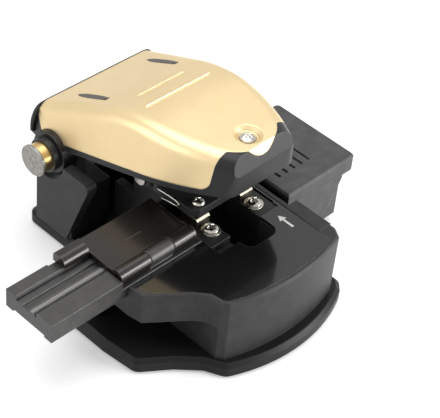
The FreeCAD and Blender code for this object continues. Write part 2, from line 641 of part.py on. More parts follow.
def fixture_lid():
    top = "lid_seat + seat_gap + lid_thickness"
    outline = [
        ("-lid_front + side_gap", "lid_seat + seat_gap"), ("lid_back", "lid_seat + seat_gap"),
        ("lid_back", f"{top} - 0.5"), ("lid_back - 0.5", top), ("-lid_front + side_gap", top),
    ]
    plate = prism("lid_plate", "YZ", ("-lid_left", "-lid_right"), outline)
    knuckles = []
    for name, span in (("left", ("-lid_left", "-knuckle_start - side_gap")),
                       ("right", ("-knuckle_end + side_gap", "-lid_right"))):
        barrel = rod("lid_knuckle_" + name, "X", ("-knuckle_y", "knuckle_z"), span, "knuckle_radius")
        arm = box("lid_knuckle_arm_" + name, span, ("-knuckle_y", "-lid_front + side_gap + 0.5"),
                  ("lid_seat + seat_gap", top))
        knuckles += [barrel, arm]
    bore = rod("lid_bore", "X", ("-knuckle_y", "knuckle_z"), ("-lid_left - 1", "-lid_right + 1"),
               "lid_pin_radius + run_gap")
    line = box("lid_line_cut", ("-lid_right - 12 - lid_line", "-lid_right - 12"),
               ("lid_line_y", "lid_line_y + lid_line_width"), (f"{top} - lid_line_depth", f"{top} + 1"))
    magnet_seat = rod("lid_magnet_seat", "Z", ("-lid_left + 5", "tray_back - 3"),
                      ("lid_seat", "lid_seat + seat_gap + magnet_thickness"), "magnet_radius + press_gap")
    pad_seat = box("lid_pad_seat", ("-lid_left + 10", "-lid_right - 4"),
                   ("-lid_pad_width / 2", "lid_pad_width / 2"),
                   ("lid_seat", "lid_seat + seat_gap + lid_pad_thickness"))
    clear = rod("lid_knuckle_gap", "X", ("-knuckle_y", "knuckle_z"),
                ("-knuckle_start - side_gap", "-knuckle_end + side_gap"), "knuckle_radius + side_gap")
    node(cut("fixture_lid", fuse("lid_with_knuckles", plate, *knuckles), bore, clear, line, magnet_seat,
             pad_seat),
         "fixture_lid")
    node(rod("lid_magnet", "Z", ("-lid_left + 5", "tray_back - 3"),
             ("lid_seat + seat_gap", "lid_seat + seat_gap + magnet_thickness"), "magnet_radius"),
             "lid_magnet")
    node(box("lid_pad", ("-lid_left + 10", "-lid_right - 4"), ("-lid_pad_width / 2", "lid_pad_width / 2"),
             ("lid_seat + seat_gap", "lid_seat + seat_gap + lid_pad_thickness")), "lid_pad")
    tab = prism("lid_tab", "YZ", ("-tab_left", "-lid_left"), [
        ("tab_front", "tray_top + side_gap"), ("tab_back", "tray_top + side_gap"),
        ("tab_back", "tab_top - 0.5"), ("tab_back - 0.5", "tab_top"),
        ("tab_front + 2.4", "tab_top", "2.6"), ("tab_front", "tab_top - 2.2"),
    ])
    node(tab, "lid_tab")


# --- hinge -------------------------------------------------------------------------------------

def hinge():
    notch = "boss_radius + boss_gap"
    for label, side in SIDES.items():
        plate = prism(f"ear_plate_{label}", "YZ", mirrored(side, "ear_outer - ear_thickness", "ear_outer"),
                      [
            ("ear_front", "plate_top"), ("ear_back", "plate_top"), ("ear_back", "hinge_z"),
            ("hinge_y", "hinge_z"), ("ear_nose + 11", "ear_top"), ("ear_nose + 1.6", "ear_top", "2.2"),
            ("ear_nose", "ear_top - 3.4"),
        ])
        relief = rod(f"ear_relief_{label}", "X", ("hinge_y", "hinge_z"),
                     mirrored(side, "ear_outer - ear_thickness - 1", "ear_outer + 1"), notch)
        web = box(f"ear_web_{label}", mirrored(side, "web_inner", "ear_outer - 1"),
                  ("body_back + side_gap", "ear_back"), ("plate_top", "web_top"))
        lug = box(f"ear_lug_{label}", mirrored(side, "lug_outer - lug_thickness", "lug_outer"),
                  ("hinge_y - lug_radius", "ear_back"), ("plate_top", "hinge_z - lug_radius + 2"))
        neck = box(f"ear_neck_{label}", mirrored(side, "lug_outer - lug_thickness", "lug_outer"),
                   ("hinge_y - lug_radius", "ear_back"), ("hinge_z - lug_radius", "hinge_z"))
        eye = rod(f"ear_eye_{label}", "X", ("hinge_y", "hinge_z"),
                  mirrored(side, "lug_outer - lug_thickness", "lug_outer"), "lug_radius")
        bore = rod(f"ear_bore_{label}", "X", ("hinge_y", "hinge_z"),
                   mirrored(side, "lug_outer - lug_thickness - 1", "ear_outer + 1"),
                   "shaft_radius + press_gap")
        trimmed = cut(f"ear_plate_trimmed_{label}", plate, relief)
        screw = rod(f"ear_screw_hole_{label}", "Z", (f"{side} * screw_left", "screw_back"),
                    ("plate_top - 1", "grip_thickness + screw_head + screw_length + 0.5"),
                    "screw_radius + press_gap")
        node(cut(f"hinge_ear_{label}", fuse(f"ear_blank_{label}", trimmed, web, lug, neck, eye), bore,
                 screw),
             f"hinge_ear_{label}")
        hub_span = ("boss_outer + seat_gap", "boss_outer + seat_gap + hub_length")
        bush_span = (hub_span[1], f"{hub_span[1]} + bush_length")
        disc_span = (bush_span[1], f"{bush_span[1]} + disc_thickness")
        for piece, span, radius in (("hub", hub_span, "hub_radius"), ("bush", bush_span, "bush_radius")):
            ring = rod(f"{piece}_{label}_body", "X", ("hinge_y", "hinge_z"), mirrored(side, *span), radius)
            hole = rod(f"{piece}_{label}_hole", "X", ("hinge_y", "hinge_z"),
                       mirrored(side, f"{span[0]} - 1", f"{span[1]} + 1"), "shaft_radius + press_gap")
            node(cut(f"hinge_{piece}_{label}", ring, hole), f"hinge_{piece}_{label}")
        disc = rod(f"disc_{label}_body", "X", ("hinge_y", "hinge_z"), mirrored(side, *disc_span),
                   "disc_radius")
        holes = [rod(f"disc_{label}_hole_{number}", "X",
                     (f"hinge_y + {sign} * disc_radius * 0.28", f"hinge_z + {sign} * disc_radius * 0.28"),
                     mirrored(side, f"{disc_span[1]} - 0.7", f"{disc_span[1]} + 1"), "disc_radius * 0.12")
                 for number, sign in enumerate((-1, 1))]
        node(cut(f"end_disc_{label}", disc, *holes), f"end_disc_{label}")
    reach = "boss_outer + seat_gap + hub_length + bush_length"
    node(rod("hinge_shaft", "X", ("hinge_y", "hinge_z"), (f"-({reach})", reach), "shaft_radius"),
         "hinge_shaft")
    for label, side in SIDES.items():
        coil_length = "1.4 * spring_wire * spring_turns + spring_wire"
        start = f"lug_outer - lug_thickness - side_gap - ({coil_length})"
        low = mirrored(side, start, f"{start} + {coil_length}")[0]
        coil = spring(f"lever_spring_{label}", "X", (low, "hinge_y", "hinge_z"),
                      "shaft_radius + side_gap + spring_wire / 2", "spring_wire", coil_length)
        node(coil, f"lever_spring_{label}")
    node(box("rear_wall", ("-web_inner", "web_inner"),
             ("ear_back - wall_depth", "ear_back"), ("plate_top", "wall_top")), "rear_wall")


# --- lever: gold cover over a black shell ------------------------------------------------------

def lever_form(name, inset, deeper, sharp=False):
    """The lever's rounded body, drawn in from its outside by the inset.  The deeper one reaches
    below the rim, so that it hollows the lever out.  A sharp one keeps square shoulders."""
    half = f"(lever_width / 2 - {inset})"
    tip = ("(lever_width / 2 - lever_arc"
           f" + sqrt((lever_arc - {inset}) ^ 2 - (lever_front + lever_shoulder_y) ^ 2))")
    back = f"(lever_back - {inset})"
    plan = prism(name + "_plan", "XY", ("lever_ref", "top_height + 2"), [
        (f"-{tip}", "-lever_front"), (tip, "-lever_front", f"lever_arc - {inset}"),
        (half, "lever_shoulder_y"),
        (half, f"{back} - 6"), (f"{half} - 1.5", back), (f"-{half} + 1.5", back),
        (f"-{half}", f"{back} - 6"),
        (f"-{half}", "lever_shoulder_y", f"lever_arc - {inset}"),
    ], draft="lever_draft")
    top = f"(top_height - {inset})"
    rim = "-12" if deeper else "0"
    slope = "((top_height - top_back) / (lever_back - top_knee))"
    bend = "(top_bend * tan(atan(" + slope + ") / 2))"
    side = prism(name + "_side", "YZ", ("-lever_width", "lever_width"), [
        ("-lever_front - 5", f"rim_front_z + {rim}"), ("-rim_front_y", f"rim_front_z + {rim}"),
        ("rim_mid_y", f"rim_mid_z + {rim}"), ("rim_back_y", f"rim_back_z + {rim}"),
        ("lever_back + 5", f"rim_back_z - 1.5 + {rim}"),
        ("lever_back + 5", f"{top} - {slope} * (lever_back + 5 - top_knee)"),
        (f"top_knee + {bend} * cos(atan({slope}))", f"{top} - {bend} * sin(atan({slope}))", "top_bend"),
        (f"top_knee - {bend}", top), ("-lever_front - 5", top),
    ])
    form = common(name + "_block", plan, side)
    doc.recompute()
    radius = value("shoulder_round - cover_thickness" if deeper else "shoulder_round")
    level = value(top) - 2.0
    fall, knee = value(slope), value("top_knee")
    if not sharp:
        rounded = doc.addObject("Part::Fillet", name + "_rounded")
        rounded.Base = form
        rounded.Edges = [(number, radius, radius) for number in shoulder_edges(form.Shape, level, fall,
                                                                               knee)]
    nose = nose_block(name + "_nose", inset)
    slope_cut = prism(name + "_brow", "YZ", ("-lever_width", "lever_width"), [
        ("-lever_front - 9", "nose_crease_z"), (f"-nose_front + {inset}", "nose_crease_z"),
        (f"-nose_top_y + {inset}", top), (f"-nose_top_y + {inset}", "top_height + 9"),
        ("-lever_front - 9", "top_height + 9"),
    ])
    return cut(name, common(name + "_long", form if sharp else rounded, nose), slope_cut)


def nose_block(name, inset):
    """An upright block that holds the lever and rounds its nose; each round corner touches the bowed
    side at the height of the front rim."""
    radius = f"(nose_round - {inset})"
    span = "(lever_arc - (rim_front_z - lever_ref) * tan(lever_draft) - nose_round)"
    rise = "(nose_front - nose_round + lever_shoulder_y)"
    ahead = f"sqrt({span} ^ 2 - {rise} ^ 2)"
    x = f"(lever_width / 2 - lever_arc + {ahead})"
    y = "(nose_round - nose_front)"
    meet_x = f"({x} + {radius} * sin(nose_flare))"
    meet_y = f"({y} - {radius} * cos(nose_flare))"
    run = "(lever_back + 40)"
    end_x = f"({meet_x} + {run} * cos(nose_flare))"
    end_y = f"({meet_y} + {run} * sin(nose_flare))"
    return prism(name, "XY", ("rim_back_z - 20", "top_height + 3"), [
        (f"-{x}", f"-nose_front + {inset}"), (x, f"-nose_front + {inset}", radius), (meet_x, meet_y),
        (end_x, end_y), (f"-{end_x}", end_y), (f"-{meet_x}", meet_y, radius),
    ])


def shoulder_edges(shape, level, fall, knee):
    """The numbers of the long edges where the lever's top meets its sides."""
    chosen = []
    for number, edge in enumerate(shape.Edges, start=1):
        extent = edge.BoundBox
        middle = edge.valueAt((edge.FirstParameter + edge.LastParameter) / 2)
        long_side = extent.YLength > 5 and extent.XMin * extent.XMax > 0
        if long_side and middle.y > -9 and middle.z > level - max(0.0, middle.y - knee) * fall:
            chosen.append(number)
    return chosen


def lever():
    inner = "(cover_thickness + shell_thickness)"
    forms = {
        "lever_outer": lever_form("lever_outer", "0", False),
        "lever_middle": lever_form("lever_middle", "cover_thickness", True),
        "lever_inner": lever_form("lever_inner", inner, True, sharp=True),
    }
    bulge = prism("cover_bulge", "XY", ("top_height - cover_bulge + 2", "top_height + 8"), [
        ("-cover_bulge_width / 2", "-cover_front", "cover_bulge_width * 0.63"),
        ("cover_bulge_width / 2", "-cover_front"), ("cover_bulge_width / 2", "0"),
        ("-cover_bulge_width / 2", "0"),
    ])
    fall = "(rim_front_z - rim_mid_z) / (rim_mid_y + rim_front_y)"
    low = f"(rim_front_z + band - (rim_front_y - cover_front + cover_corner) * {fall})"
    side = prism("cover_side", "YZ", ("-lever_width", "lever_width"), [
        ("-cover_front", f"{low} + cover_corner", "cover_corner"), ("-cover_front + cover_corner", low),
        ("rim_mid_y", "rim_mid_z + band"),
        ("rim_back_y", "rim_back_z + band", "cover_round + 4"),
        ("cover_back", "rim_back_z + band + cover_round"),
        ("cover_back", "top_height + 8"), ("-cover_front", "top_height + 8"),
    ])
    zone = fuse("cover_zone", bulge, side)
    skin = cut("cover_skin", forms["lever_outer"], forms["lever_middle"])
    blank = common("cover_blank", skin, zone)
    vents = []
    for label, side_sign in SIDES.items():
        x = f"{side_sign} * vent_offset"
        vents.append(prism(f"vent_{label}", "XY", ("top_back - 3", "top_height + 3"), [
            (f"{x} - vent_width / 2", "vent_front"), (f"{x} + vent_width / 2", "vent_front", "vent_bow"),
            (x, "vent_back", "vent_bow"),
        ]))
    dish = cone("cover_dish", "Z", ("0", "-cover_screw_y"),
                ("top_height - dish_depth", "top_height + 0.5"), "cover_head_radius + 0.3",
                "dish_radius + 0.6")
    ribs = []
    for name, y, half in (("one", "rib_one_y", "rib_one_half"), ("two", "rib_two_y", "rib_two_half")):
        ribs.append(box(f"cover_rib_{name}_block", (f"-{half}", half),
                        (f"{y} - rib_wide / 2", f"{y} + rib_wide / 2"),
                        ("top_back", "top_height + 3")))
    raised = lever_form("lever_raised", "-rib_rise", False)
    rib_bars = cut("cover_ribs", common("cover_rib_bars", fuse("cover_rib_blocks", *ribs), raised),
                   forms["lever_middle"])
    bosses = [rod(f"cover_boss_gap_{label}", "X", ("hinge_y", "hinge_z"),
                  mirrored(side_sign, "lug_outer - 1", "boss_outer + 1"), "boss_radius + press_gap")
              for label, side_sign in SIDES.items()]
    cover = cut("lever_cover", fuse("cover_with_ribs", blank, rib_bars), dish, *vents, *bosses)
    node(cover, "lever_cover")
    black = cut("frame_skin", forms["lever_outer"], forms["lever_inner"])
    outer_cover = common("frame_without", skin, zone)
    shell = cut("frame_shell", black, outer_cover)
    pieces = [shell]
    for label, side_sign in SIDES.items():
        pieces.append(rod(f"frame_boss_{label}", "X", ("hinge_y", "hinge_z"),
                          mirrored(side_sign, "lug_outer + side_gap", "boss_outer"), "boss_radius"))
        pieces.append(common(f"frame_boss_web_{label}", box(
            f"frame_boss_web_block_{label}", mirrored(side_sign, "lug_outer + side_gap", "boss_outer"),
            ("hinge_y - boss_radius", "hinge_y + boss_radius"), ("hinge_z", "rim_back_z + 0.8 * band")),
            forms["lever_outer"]))
    posts = [("cover_post", "0", "-cover_screw_y", "top_height - cover_screw_length - 2")]
    for label, side_sign in SIDES.items():
        posts.append((f"bracket_post_{label}", f"{side_sign} * bracket_post_x", "bracket_post_y",
                      "bracket_z + bracket_thickness"))
    for name, x, y, low in posts:
        post = rod(name + "_rod", "Z", (x, y), (low, "top_height"), "post_radius")
        pieces.append(common(name, post, forms["lever_middle"]))
    head_seat = "top_height - dish_depth"
    holes = [
        rod("cover_screw_hole", "Z", ("0", "-cover_screw_y"),
            (f"{head_seat} - cover_screw_length - 0.3", "top_height + 1"),
            "cover_screw_radius + press_gap"),
    ]
    for label, side_sign in SIDES.items():
        holes.append(rod(f"frame_bore_{label}", "X", ("hinge_y", "hinge_z"),
                         mirrored(side_sign, "lug_outer - 1", "boss_outer + 1"), "shaft_radius + run_gap"))
        holes.append(rod(f"bracket_screw_hole_{label}", "Z",
                         (f"{side_sign} * bracket_post_x", "bracket_post_y"),
                         ("bracket_z", "bracket_z + bracket_thickness + 5.3"),
                         "screw_radius * 0.8 + press_gap"))
    frame = cut("lever_frame", fuse("frame_blank", *pieces), dish, *holes)
    node(frame, "lever_frame")
    screw = turned("cover_screw", "Z", ("0", "-cover_screw_y", head_seat), [
        ("0", "-cover_screw_length"), ("cover_screw_radius", "-cover_screw_length"),
        ("cover_screw_radius", "0"), ("cover_head_radius", "0"),
        ("cover_head_radius", "cover_head / 2", "cover_head_radius * 1.5"), ("crown", "cover_head"),
        ("0", "cover_head"),
    ])
    node(screw, "cover_screw")


# --- clamp arm, its bracket and the anvil ------------------------------------------------------

ARM_SPRING_Y = "(arm_pin_y - arm_hub - arm_spring_radius - arm_spring_wire / 2 - side_gap)"


def arm_bracket():
    plate = box("bracket_plate", ("-bracket_half", "bracket_half"),
                (f"{ARM_SPRING_Y} - arm_spring_radius - arm_spring_wire", "bracket_back"),
                ("bracket_z", "bracket_z + bracket_thickness"))
    parts = [plate]
    for label, side in SIDES.items():
        span = mirrored(side, "bracket_half - cheek", "bracket_half")
        parts.append(box(f"cheek_{label}", span,
                         ("arm_pin_y - cheek_half_depth", "arm_pin_y + cheek_half_depth"),
                         ("arm_pin_z", "bracket_z + 1")))
        parts.append(rod(f"cheek_eye_{label}", "X", ("arm_pin_y", "arm_pin_z"), span, "cheek_half_depth"))
    bore = rod("bracket_bore", "X", ("arm_pin_y", "arm_pin_z"), ("-bracket_half - 1", "bracket_half + 1"),
               "arm_pin_radius + press_gap")
    holes = [rod(f"bracket_hole_{label}", "Z", (f"{side} * bracket_post_x", "bracket_post_y"),
                 ("bracket_z - 1", "bracket_z + bracket_thickness + 1"), "screw_radius * 0.8 + press_gap")
             for label, side in SIDES.items()]
    node(cut("arm_bracket", fuse("bracket_blank", *parts), bore, *holes), "arm_bracket")
    screws = [screw(f"bracket_screw_{label}", (f"{side} * bracket_post_x", "bracket_post_y"),
                    ("bracket_z", "bracket_z + bracket_thickness + 5"),
                    ("bracket_z - screw_head", "bracket_z"),
                    "screw_radius * 0.8", "screw_head_radius * 0.8") for label, side in SIDES.items()]
    node(group("bracket_screws", screws), "bracket_screws")
    reach = "bracket_half + arm_pin_head_length"
    pin = turned("arm_pin", "X", ("0", "arm_pin_y", "arm_pin_z"), [
        ("0", f"-({reach})"), ("arm_pin_head", f"-({reach})"), ("arm_pin_head", "-bracket_half"),
        ("arm_pin_radius", "-bracket_half"), ("arm_pin_radius", "bracket_half"),
        ("arm_pin_head", "bracket_half"), ("arm_pin_head", reach), ("0", reach),
    ])
    node(pin, "arm_pin")


def clamp_arm():
    inner = "(bracket_half - cheek - side_gap)"
    top = "arm_floor + arm_thickness"
    plate = prism("arm_plate", "XY", ("arm_floor", top), [
        ("-arm_half + 2", "-arm_front"), ("arm_half - 2", "-arm_front"), ("arm_half", "-arm_front + 2"),
        ("arm_half", "arm_shoulder_y"), (inner, "arm_shoulder_y + 1"), (inner, "arm_pin_y"),
        (f"-{inner}", "arm_pin_y"), (f"-{inner}", "arm_shoulder_y + 1"), ("-arm_half", "arm_shoulder_y"),
        ("-arm_half", "-arm_front + 2"),
    ])
    barrel = rod("arm_barrel", "X", ("arm_pin_y", "arm_pin_z"), (f"-{inner}", inner), "arm_hub")
    bore = rod("arm_bore", "X", ("arm_pin_y", "arm_pin_z"), (f"-{inner} - 1", f"{inner} + 1"),
               "arm_pin_radius + run_gap")
    pocket = box("anvil_pocket", ("-anvil_half - 0.2", "anvil_half + 0.2"),
                 ("-anvil_depth / 2 - 0.2", "anvil_depth / 2 + 0.2"),
                 ("arm_floor - 1", "anvil_tip + anvil_height + anvil_lift + side_gap"))
    window = box("arm_window", ("-anvil_half - 2.6", "anvil_half + 2.6"),
                 ("anvil_depth / 2 + 3", "arm_shoulder_y - 1"),
                 ("arm_floor - 1", f"{top} + 1"))
    stem = rod("stem_bore", "Z", ("0", "0"), ("arm_floor - 1", f"{top} + 1"), "stem_radius + run_gap")
    screw_holes = [rod(f"arm_screw_hole_{label}", "Z", (f"{side} * arm_screw_x", "-arm_screw_y"),
                       (f"{top} - 2", f"{top} + 1"), "arm_screw_radius + press_gap")
                   for label, side in SIDES.items()]
    arm = cut("clamp_arm", fuse("arm_blank", plate, barrel), bore, pocket, window, stem, *screw_holes)
    node(arm, "clamp_arm")
    for label, side in SIDES.items():
        x = f"{side} * pad_offset"
        node(box(f"upper_pad_{label}", (f"{x} - upper_pad_width / 2", f"{x} + upper_pad_width / 2"),
                 ("-upper_pad_depth / 2", "upper_pad_depth / 2"),
                 ("arm_floor - upper_pad_thickness", "arm_floor")), f"upper_pad_{label}")
    screws = [screw(f"arm_screw_{label}", (f"{side} * arm_screw_x", "-arm_screw_y"), (f"{top} - 1.8", top),
                    (top, f"{top} + 1.7"), "arm_screw_radius", "arm_screw_head") for label,
                    side in SIDES.items()]
    node(group("arm_screws", screws), "arm_screws")
    reach = f"(arm_pin_y - {ARM_SPRING_Y} + arm_spring_radius + arm_spring_wire)"
    height = f"(bracket_z - ({top}) - seat_gap - side_gap - {reach} * sin(arm_lift))"
    springs = [spring(f"arm_spring_{label}", "Z",
                      (f"{side} * arm_spring_x", ARM_SPRING_Y, f"{top} + seat_gap"),
                      "arm_spring_radius", "arm_spring_wire", height)
               for label, side in SIDES.items()]
    node(group("arm_springs", springs), "arm_springs")
    shoulder = "anvil_tip + anvil_height"
    foot = prism("anvil_foot", "XZ", ("-anvil_depth / 2", "anvil_depth / 2"), [
        ("-anvil_half + 0.7", "anvil_tip"), ("anvil_half - 0.7", "anvil_tip"),
        ("anvil_half", "anvil_tip + 1"),
        ("anvil_half", shoulder), ("-anvil_half", shoulder), ("-anvil_half", "anvil_tip + 1"),
    ])
    rise = rod("anvil_stem", "Z", ("0", "0"), (f"{shoulder} - 0.5", f"{top} + side_gap + cap_thickness"),
               "stem_radius")
    cap = rod("anvil_cap", "Z", ("0", "0"), (f"{top} + seat_gap", f"{top} + seat_gap + cap_thickness"),
              "cap_radius")
    node(fuse("anvil", foot, rise, cap), "anvil")


# --- blade carriage ----------------------------------------------------------------------------

def carriage():
    y_low, y_high = "carriage_y - carriage_length / 2", "carriage_y + carriage_length / 2"
    rail_top = "channel_floor + guide_height"
    node(box("guide_rail", ("-guide_width / 2", "guide_width / 2"), ("-guide_front", "guide_back"),
             ("channel_floor", rail_top)), "guide_rail")
    slider = box("slider_block", ("-slider_half", "slider_half"),
                 ("carriage_y - slider_length / 2", "carriage_y + slider_length / 2"),
                 ("channel_floor + side_gap", "carriage_floor"))
    groove = box("slider_groove", ("-guide_width / 2 - run_gap", "guide_width / 2 + run_gap"),
                 (y_low, y_high), ("channel_floor", f"{rail_top} + run_gap"))
    wheel_z = "(fibre_height - wheel_drop - wheel_radius)"
    relief = box("slider_relief", ("-wheel_thickness / 2 - side_gap", "wheel_thickness / 2 + side_gap"),
                 ("carriage_y - wheel_radius / 2", "carriage_y + wheel_radius / 2"),
                 (f"{wheel_z} - wheel_radius - side_gap", wheel_z))
    node(cut("slider", slider, groove, relief), "slider")
    deck = box("carriage_deck_block", ("-carriage_half", "carriage_half"), (y_low, y_high),
               ("carriage_floor", "carriage_floor + carriage_deck"))
    face = "(-wheel_thickness / 2 - holder_thickness)"
    wall = prism("carriage_wall", "YZ", ("-carriage_half", face), [
        (y_low, "carriage_floor + 1"), (y_high, "carriage_floor + 1"), (y_high, "carriage_top - 2"),
        (f"{y_high} - 2", "carriage_top"), (f"{y_low} + 2", "carriage_top"), (y_low, "carriage_top - 2"),
    ])
    trough = box("carriage_trough", ("-wheel_thickness / 2 - side_gap", "wheel_thickness / 2 + side_gap"),
                 ("carriage_y - wheel_radius - side_gap", "carriage_y + wheel_radius + side_gap"),
                 (f"{wheel_z} - wheel_radius - side_gap", wheel_z))
    bore = rod("carriage_bore", "X", ("carriage_y", wheel_z), ("-carriage_half - 1", "carriage_half"),
               "axle_radius + press_gap")
    sets = {"front": "carriage_y - set_screw_y", "back": "carriage_y + set_screw_y"}
    centre_x = f"(-carriage_half + {face}) / 2"
    holes = [rod(f"set_hole_{name}", "Z", (centre_x, y), ("carriage_top - 5", "carriage_top + 1"),
                 "set_screw_radius + press_gap") for name, y in sets.items()]
    plan = prism("carriage_plan", "XY", ("carriage_floor - 1", "carriage_top + 1"), [
        ("-carriage_half", y_low), ("carriage_half", y_low), ("carriage_half", y_high),
        ("-carriage_half", y_high)])
    front = value(y_low)
    dress(plan, "Fillet", "carriage_round",
          lambda edge: upright(edge) and abs(edge.BoundBox.YMin - front) < 1e-4)
    blank = common("carriage_rounded", fuse("carriage_blank", deck, wall), plan)
    node(cut("carriage_block", blank, trough, bore, *holes), "carriage_block")
    node(group("height_screws", [
        rod(f"height_screw_{name}", "Z", (centre_x, y),
            ("carriage_top - 4.8", "carriage_top + set_screw_rise"),
            "set_screw_radius") for name, y in sets.items()]), "height_screws")
    node(turned("blade_holder", "X", ("0", "carriage_y", wheel_z), [
        ("axle_radius + press_gap", face), ("holder_radius", face),
        ("holder_radius", "-wheel_thickness / 2 - run_gap"),
        ("axle_radius + press_gap", "-wheel_thickness / 2 - run_gap"),
    ]), "blade_holder")
    node(turned("blade_wheel", "X", ("0", "carriage_y", wheel_z), [
        ("axle_radius + run_gap", "-wheel_thickness / 2"), ("wheel_radius - 1.2", "-wheel_thickness / 2"),
        ("wheel_radius", "0"), ("wheel_radius - 1.2", "wheel_thickness / 2"),
        ("axle_radius + run_gap", "wheel_thickness / 2"),
    ]), "blade_wheel")
    node(turned("blade_axle", "X", ("0", "carriage_y", wheel_z), [
        ("0", "-carriage_half + 0.4"), ("axle_radius", "-carriage_half + 0.4"),
        ("axle_radius", "wheel_thickness / 2 + run_gap"),
        ("axle_head_radius", "wheel_thickness / 2 + run_gap"),
        ("axle_head_radius", "wheel_thickness / 2 + run_gap + axle_head"),
        ("0", "wheel_thickness / 2 + run_gap + axle_head"),
    ]), "blade_axle")


# --- scrap bin ---------------------------------------------------------------------------------

def scrap_bin():
    left = "body_right + side_gap"
    step = "body_right + plate_margin + side_gap + 0.3"
    shell = prism("bin_shell", "XZ", ("-bin_front", "bin_back"), [
        (left, "plate_top + side_gap"), (step, "plate_top + side_gap"), (step, "bin_floor"),
        ("bin_right", "bin_floor"), ("bin_right", "bin_top"), (left, "bin_top"),
    ])
    inside = box("bin_inside", (f"{left} + bin_wall", "bin_right - bin_wall"),
                 ("-bin_front + bin_wall", "bin_back - bin_wall"), ("bin_inner_floor", "bin_top + 1"))
    mouth = box("bin_mouth", (f"{left} - 1", f"{left} + bin_wall + 1"),
                ("-bin_front + bin_wall", "inlet_back - 1"),
                ("inlet_floor", "bin_top + 1"))
    pins = {f"pin_{number}": f"-pin_y + {number} * pin_pitch" for number in range(2)}
    reach = "body_right + pin_reach"
    bosses = [rod(f"bin_boss_{name}", "X", (y, "pin_z"), (f"{left} + 0.2", f"{reach} + 1.5"),
                  "pin_radius + 1.5")
              for name, y in pins.items()]
    bores = [rod(f"bin_bore_{name}", "X", (y, "pin_z"), (f"{left} - 1", f"{reach} + 0.3"),
                 "pin_radius + run_gap")
             for name, y in pins.items()]
    hollow = cut("bin_hollow", shell, inside, mouth)
    node(cut("bin_box", fuse("bin_with_bosses", hollow, *bosses), *bores), "bin_box")
    node(group("bin_pins", [
        rod(f"bin_pin_{name}", "X", (y, "pin_z"), ("body_right - pin_depth", reach), "pin_radius")
        for name, y in pins.items()]), "bin_pins")
    node(prism("bin_front_panel", "XZ", ("-bin_front - panel_thickness", "-bin_front"), [
        (left, "plate_top + side_gap"), (step, "plate_top + side_gap"), (step, "bin_floor"),
        ("panel_foot", "bin_floor"), ("panel_head", "panel_knee"), ("panel_head", "bin_top"),
        (left, "bin_top"),
    ]), "bin_front_panel")


def bin_lid():
    outer = prism("bin_lid_outer", "XY", ("bin_lid_top - bin_skirt", "bin_lid_top"), [
        ("bin_lid_left", "-bin_lid_front"), ("bin_lid_right", "-bin_lid_front"),
        ("bin_lid_right", "bin_lid_back"), ("bin_lid_left", "bin_lid_back"),
    ])
    right = value("bin_lid_right")
    dress(outer, "Fillet", "bin_lid_round",
          lambda edge: upright(edge) and abs(edge.BoundBox.XMin - right) < 1e-3)
    dress(outer, "Chamfer", "bin_lid_bevel", level_at("bin_lid_top"))
    inside = box("bin_lid_inside", ("bin_lid_left - 1", "bin_lid_right - bin_skirt_wall"),
                 ("-bin_lid_front + bin_skirt_wall", "bin_lid_back - bin_skirt_wall"),
                 ("bin_lid_top - bin_skirt - 1", "bin_lid_top - bin_lid_thickness"))
    slots = [box(f"grip_slot_{number}",
                 (f"grip_slot_x + {number} * grip_pitch - grip_slot / 2",
                  f"grip_slot_x + {number} * grip_pitch + grip_slot / 2"),
                 ("-grip_slot_front", "-grip_slot_front + grip_slot_length"),
                 ("bin_lid_top - grip_slot_depth", "bin_lid_top + 1"))
             for number in range(int(value("grip_slots")))]
    node(cut("bin_lid", outer, inside, *slots), "bin_lid")


# --- build -------------------------------------------------------------------------------------

deck_blank()
tray_channel()
blade_pocket()
doc_notches = pad_notches()
base_plate()
anti_slip_pad()
bottom_screws()
housing()
deck_plate()
bin_rail()
fibre_rests()
fibre_tray()
fixture_lid()
hinge()
lever()
arm_bracket()
clamp_arm()
carriage()
scrap_bin()
bin_lid()
doc.recompute()

for thing in doc.Objects:
    if "Invalid" in thing.State or "Error" in thing.State:
        raise RuntimeError(f"{thing.Name} failed: {thing.State}")
for piece in nodes:
    if piece.Shape.isNull() or not piece.Shape.isValid():
        raise RuntimeError(f"{piece.Label} has no valid shape")

os.makedirs("parts", exist_ok=True)
for piece in nodes:
    piece.Shape.exportStep(f"parts/{piece.Label}.step")
print(len(nodes), "pieces written")
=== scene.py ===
import bmesh
import bpy
import math
from mathutils import Matrix, Vector


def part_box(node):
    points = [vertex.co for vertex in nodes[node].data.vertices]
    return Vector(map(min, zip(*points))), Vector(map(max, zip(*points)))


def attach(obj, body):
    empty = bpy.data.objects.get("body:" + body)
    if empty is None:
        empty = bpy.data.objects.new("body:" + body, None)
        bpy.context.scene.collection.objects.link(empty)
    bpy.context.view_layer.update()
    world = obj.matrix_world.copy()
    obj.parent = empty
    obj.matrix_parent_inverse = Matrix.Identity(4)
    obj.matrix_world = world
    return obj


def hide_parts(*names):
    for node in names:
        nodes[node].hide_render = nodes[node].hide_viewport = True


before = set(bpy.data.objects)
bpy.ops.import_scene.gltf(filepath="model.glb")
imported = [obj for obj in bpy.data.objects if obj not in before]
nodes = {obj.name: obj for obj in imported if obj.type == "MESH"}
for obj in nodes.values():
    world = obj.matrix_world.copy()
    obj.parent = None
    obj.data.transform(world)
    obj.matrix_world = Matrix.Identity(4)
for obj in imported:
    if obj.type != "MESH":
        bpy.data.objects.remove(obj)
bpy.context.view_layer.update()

MM = 0.001


# --- camera ------------------------------------------------------------------------------------

CAMERA_PLACE = (-0.2532, -0.2181, 0.3204)
# degrees: from +Y towards +X, downwards, and the camera's right side raised
CAMERA_TURN, CAMERA_TILT, CAMERA_ROLL = 49.4, 41.4, 6.31
FOCAL_PIXELS, PICTURE_WIDTH = 1510, 440
SENSOR_WIDTH = 36


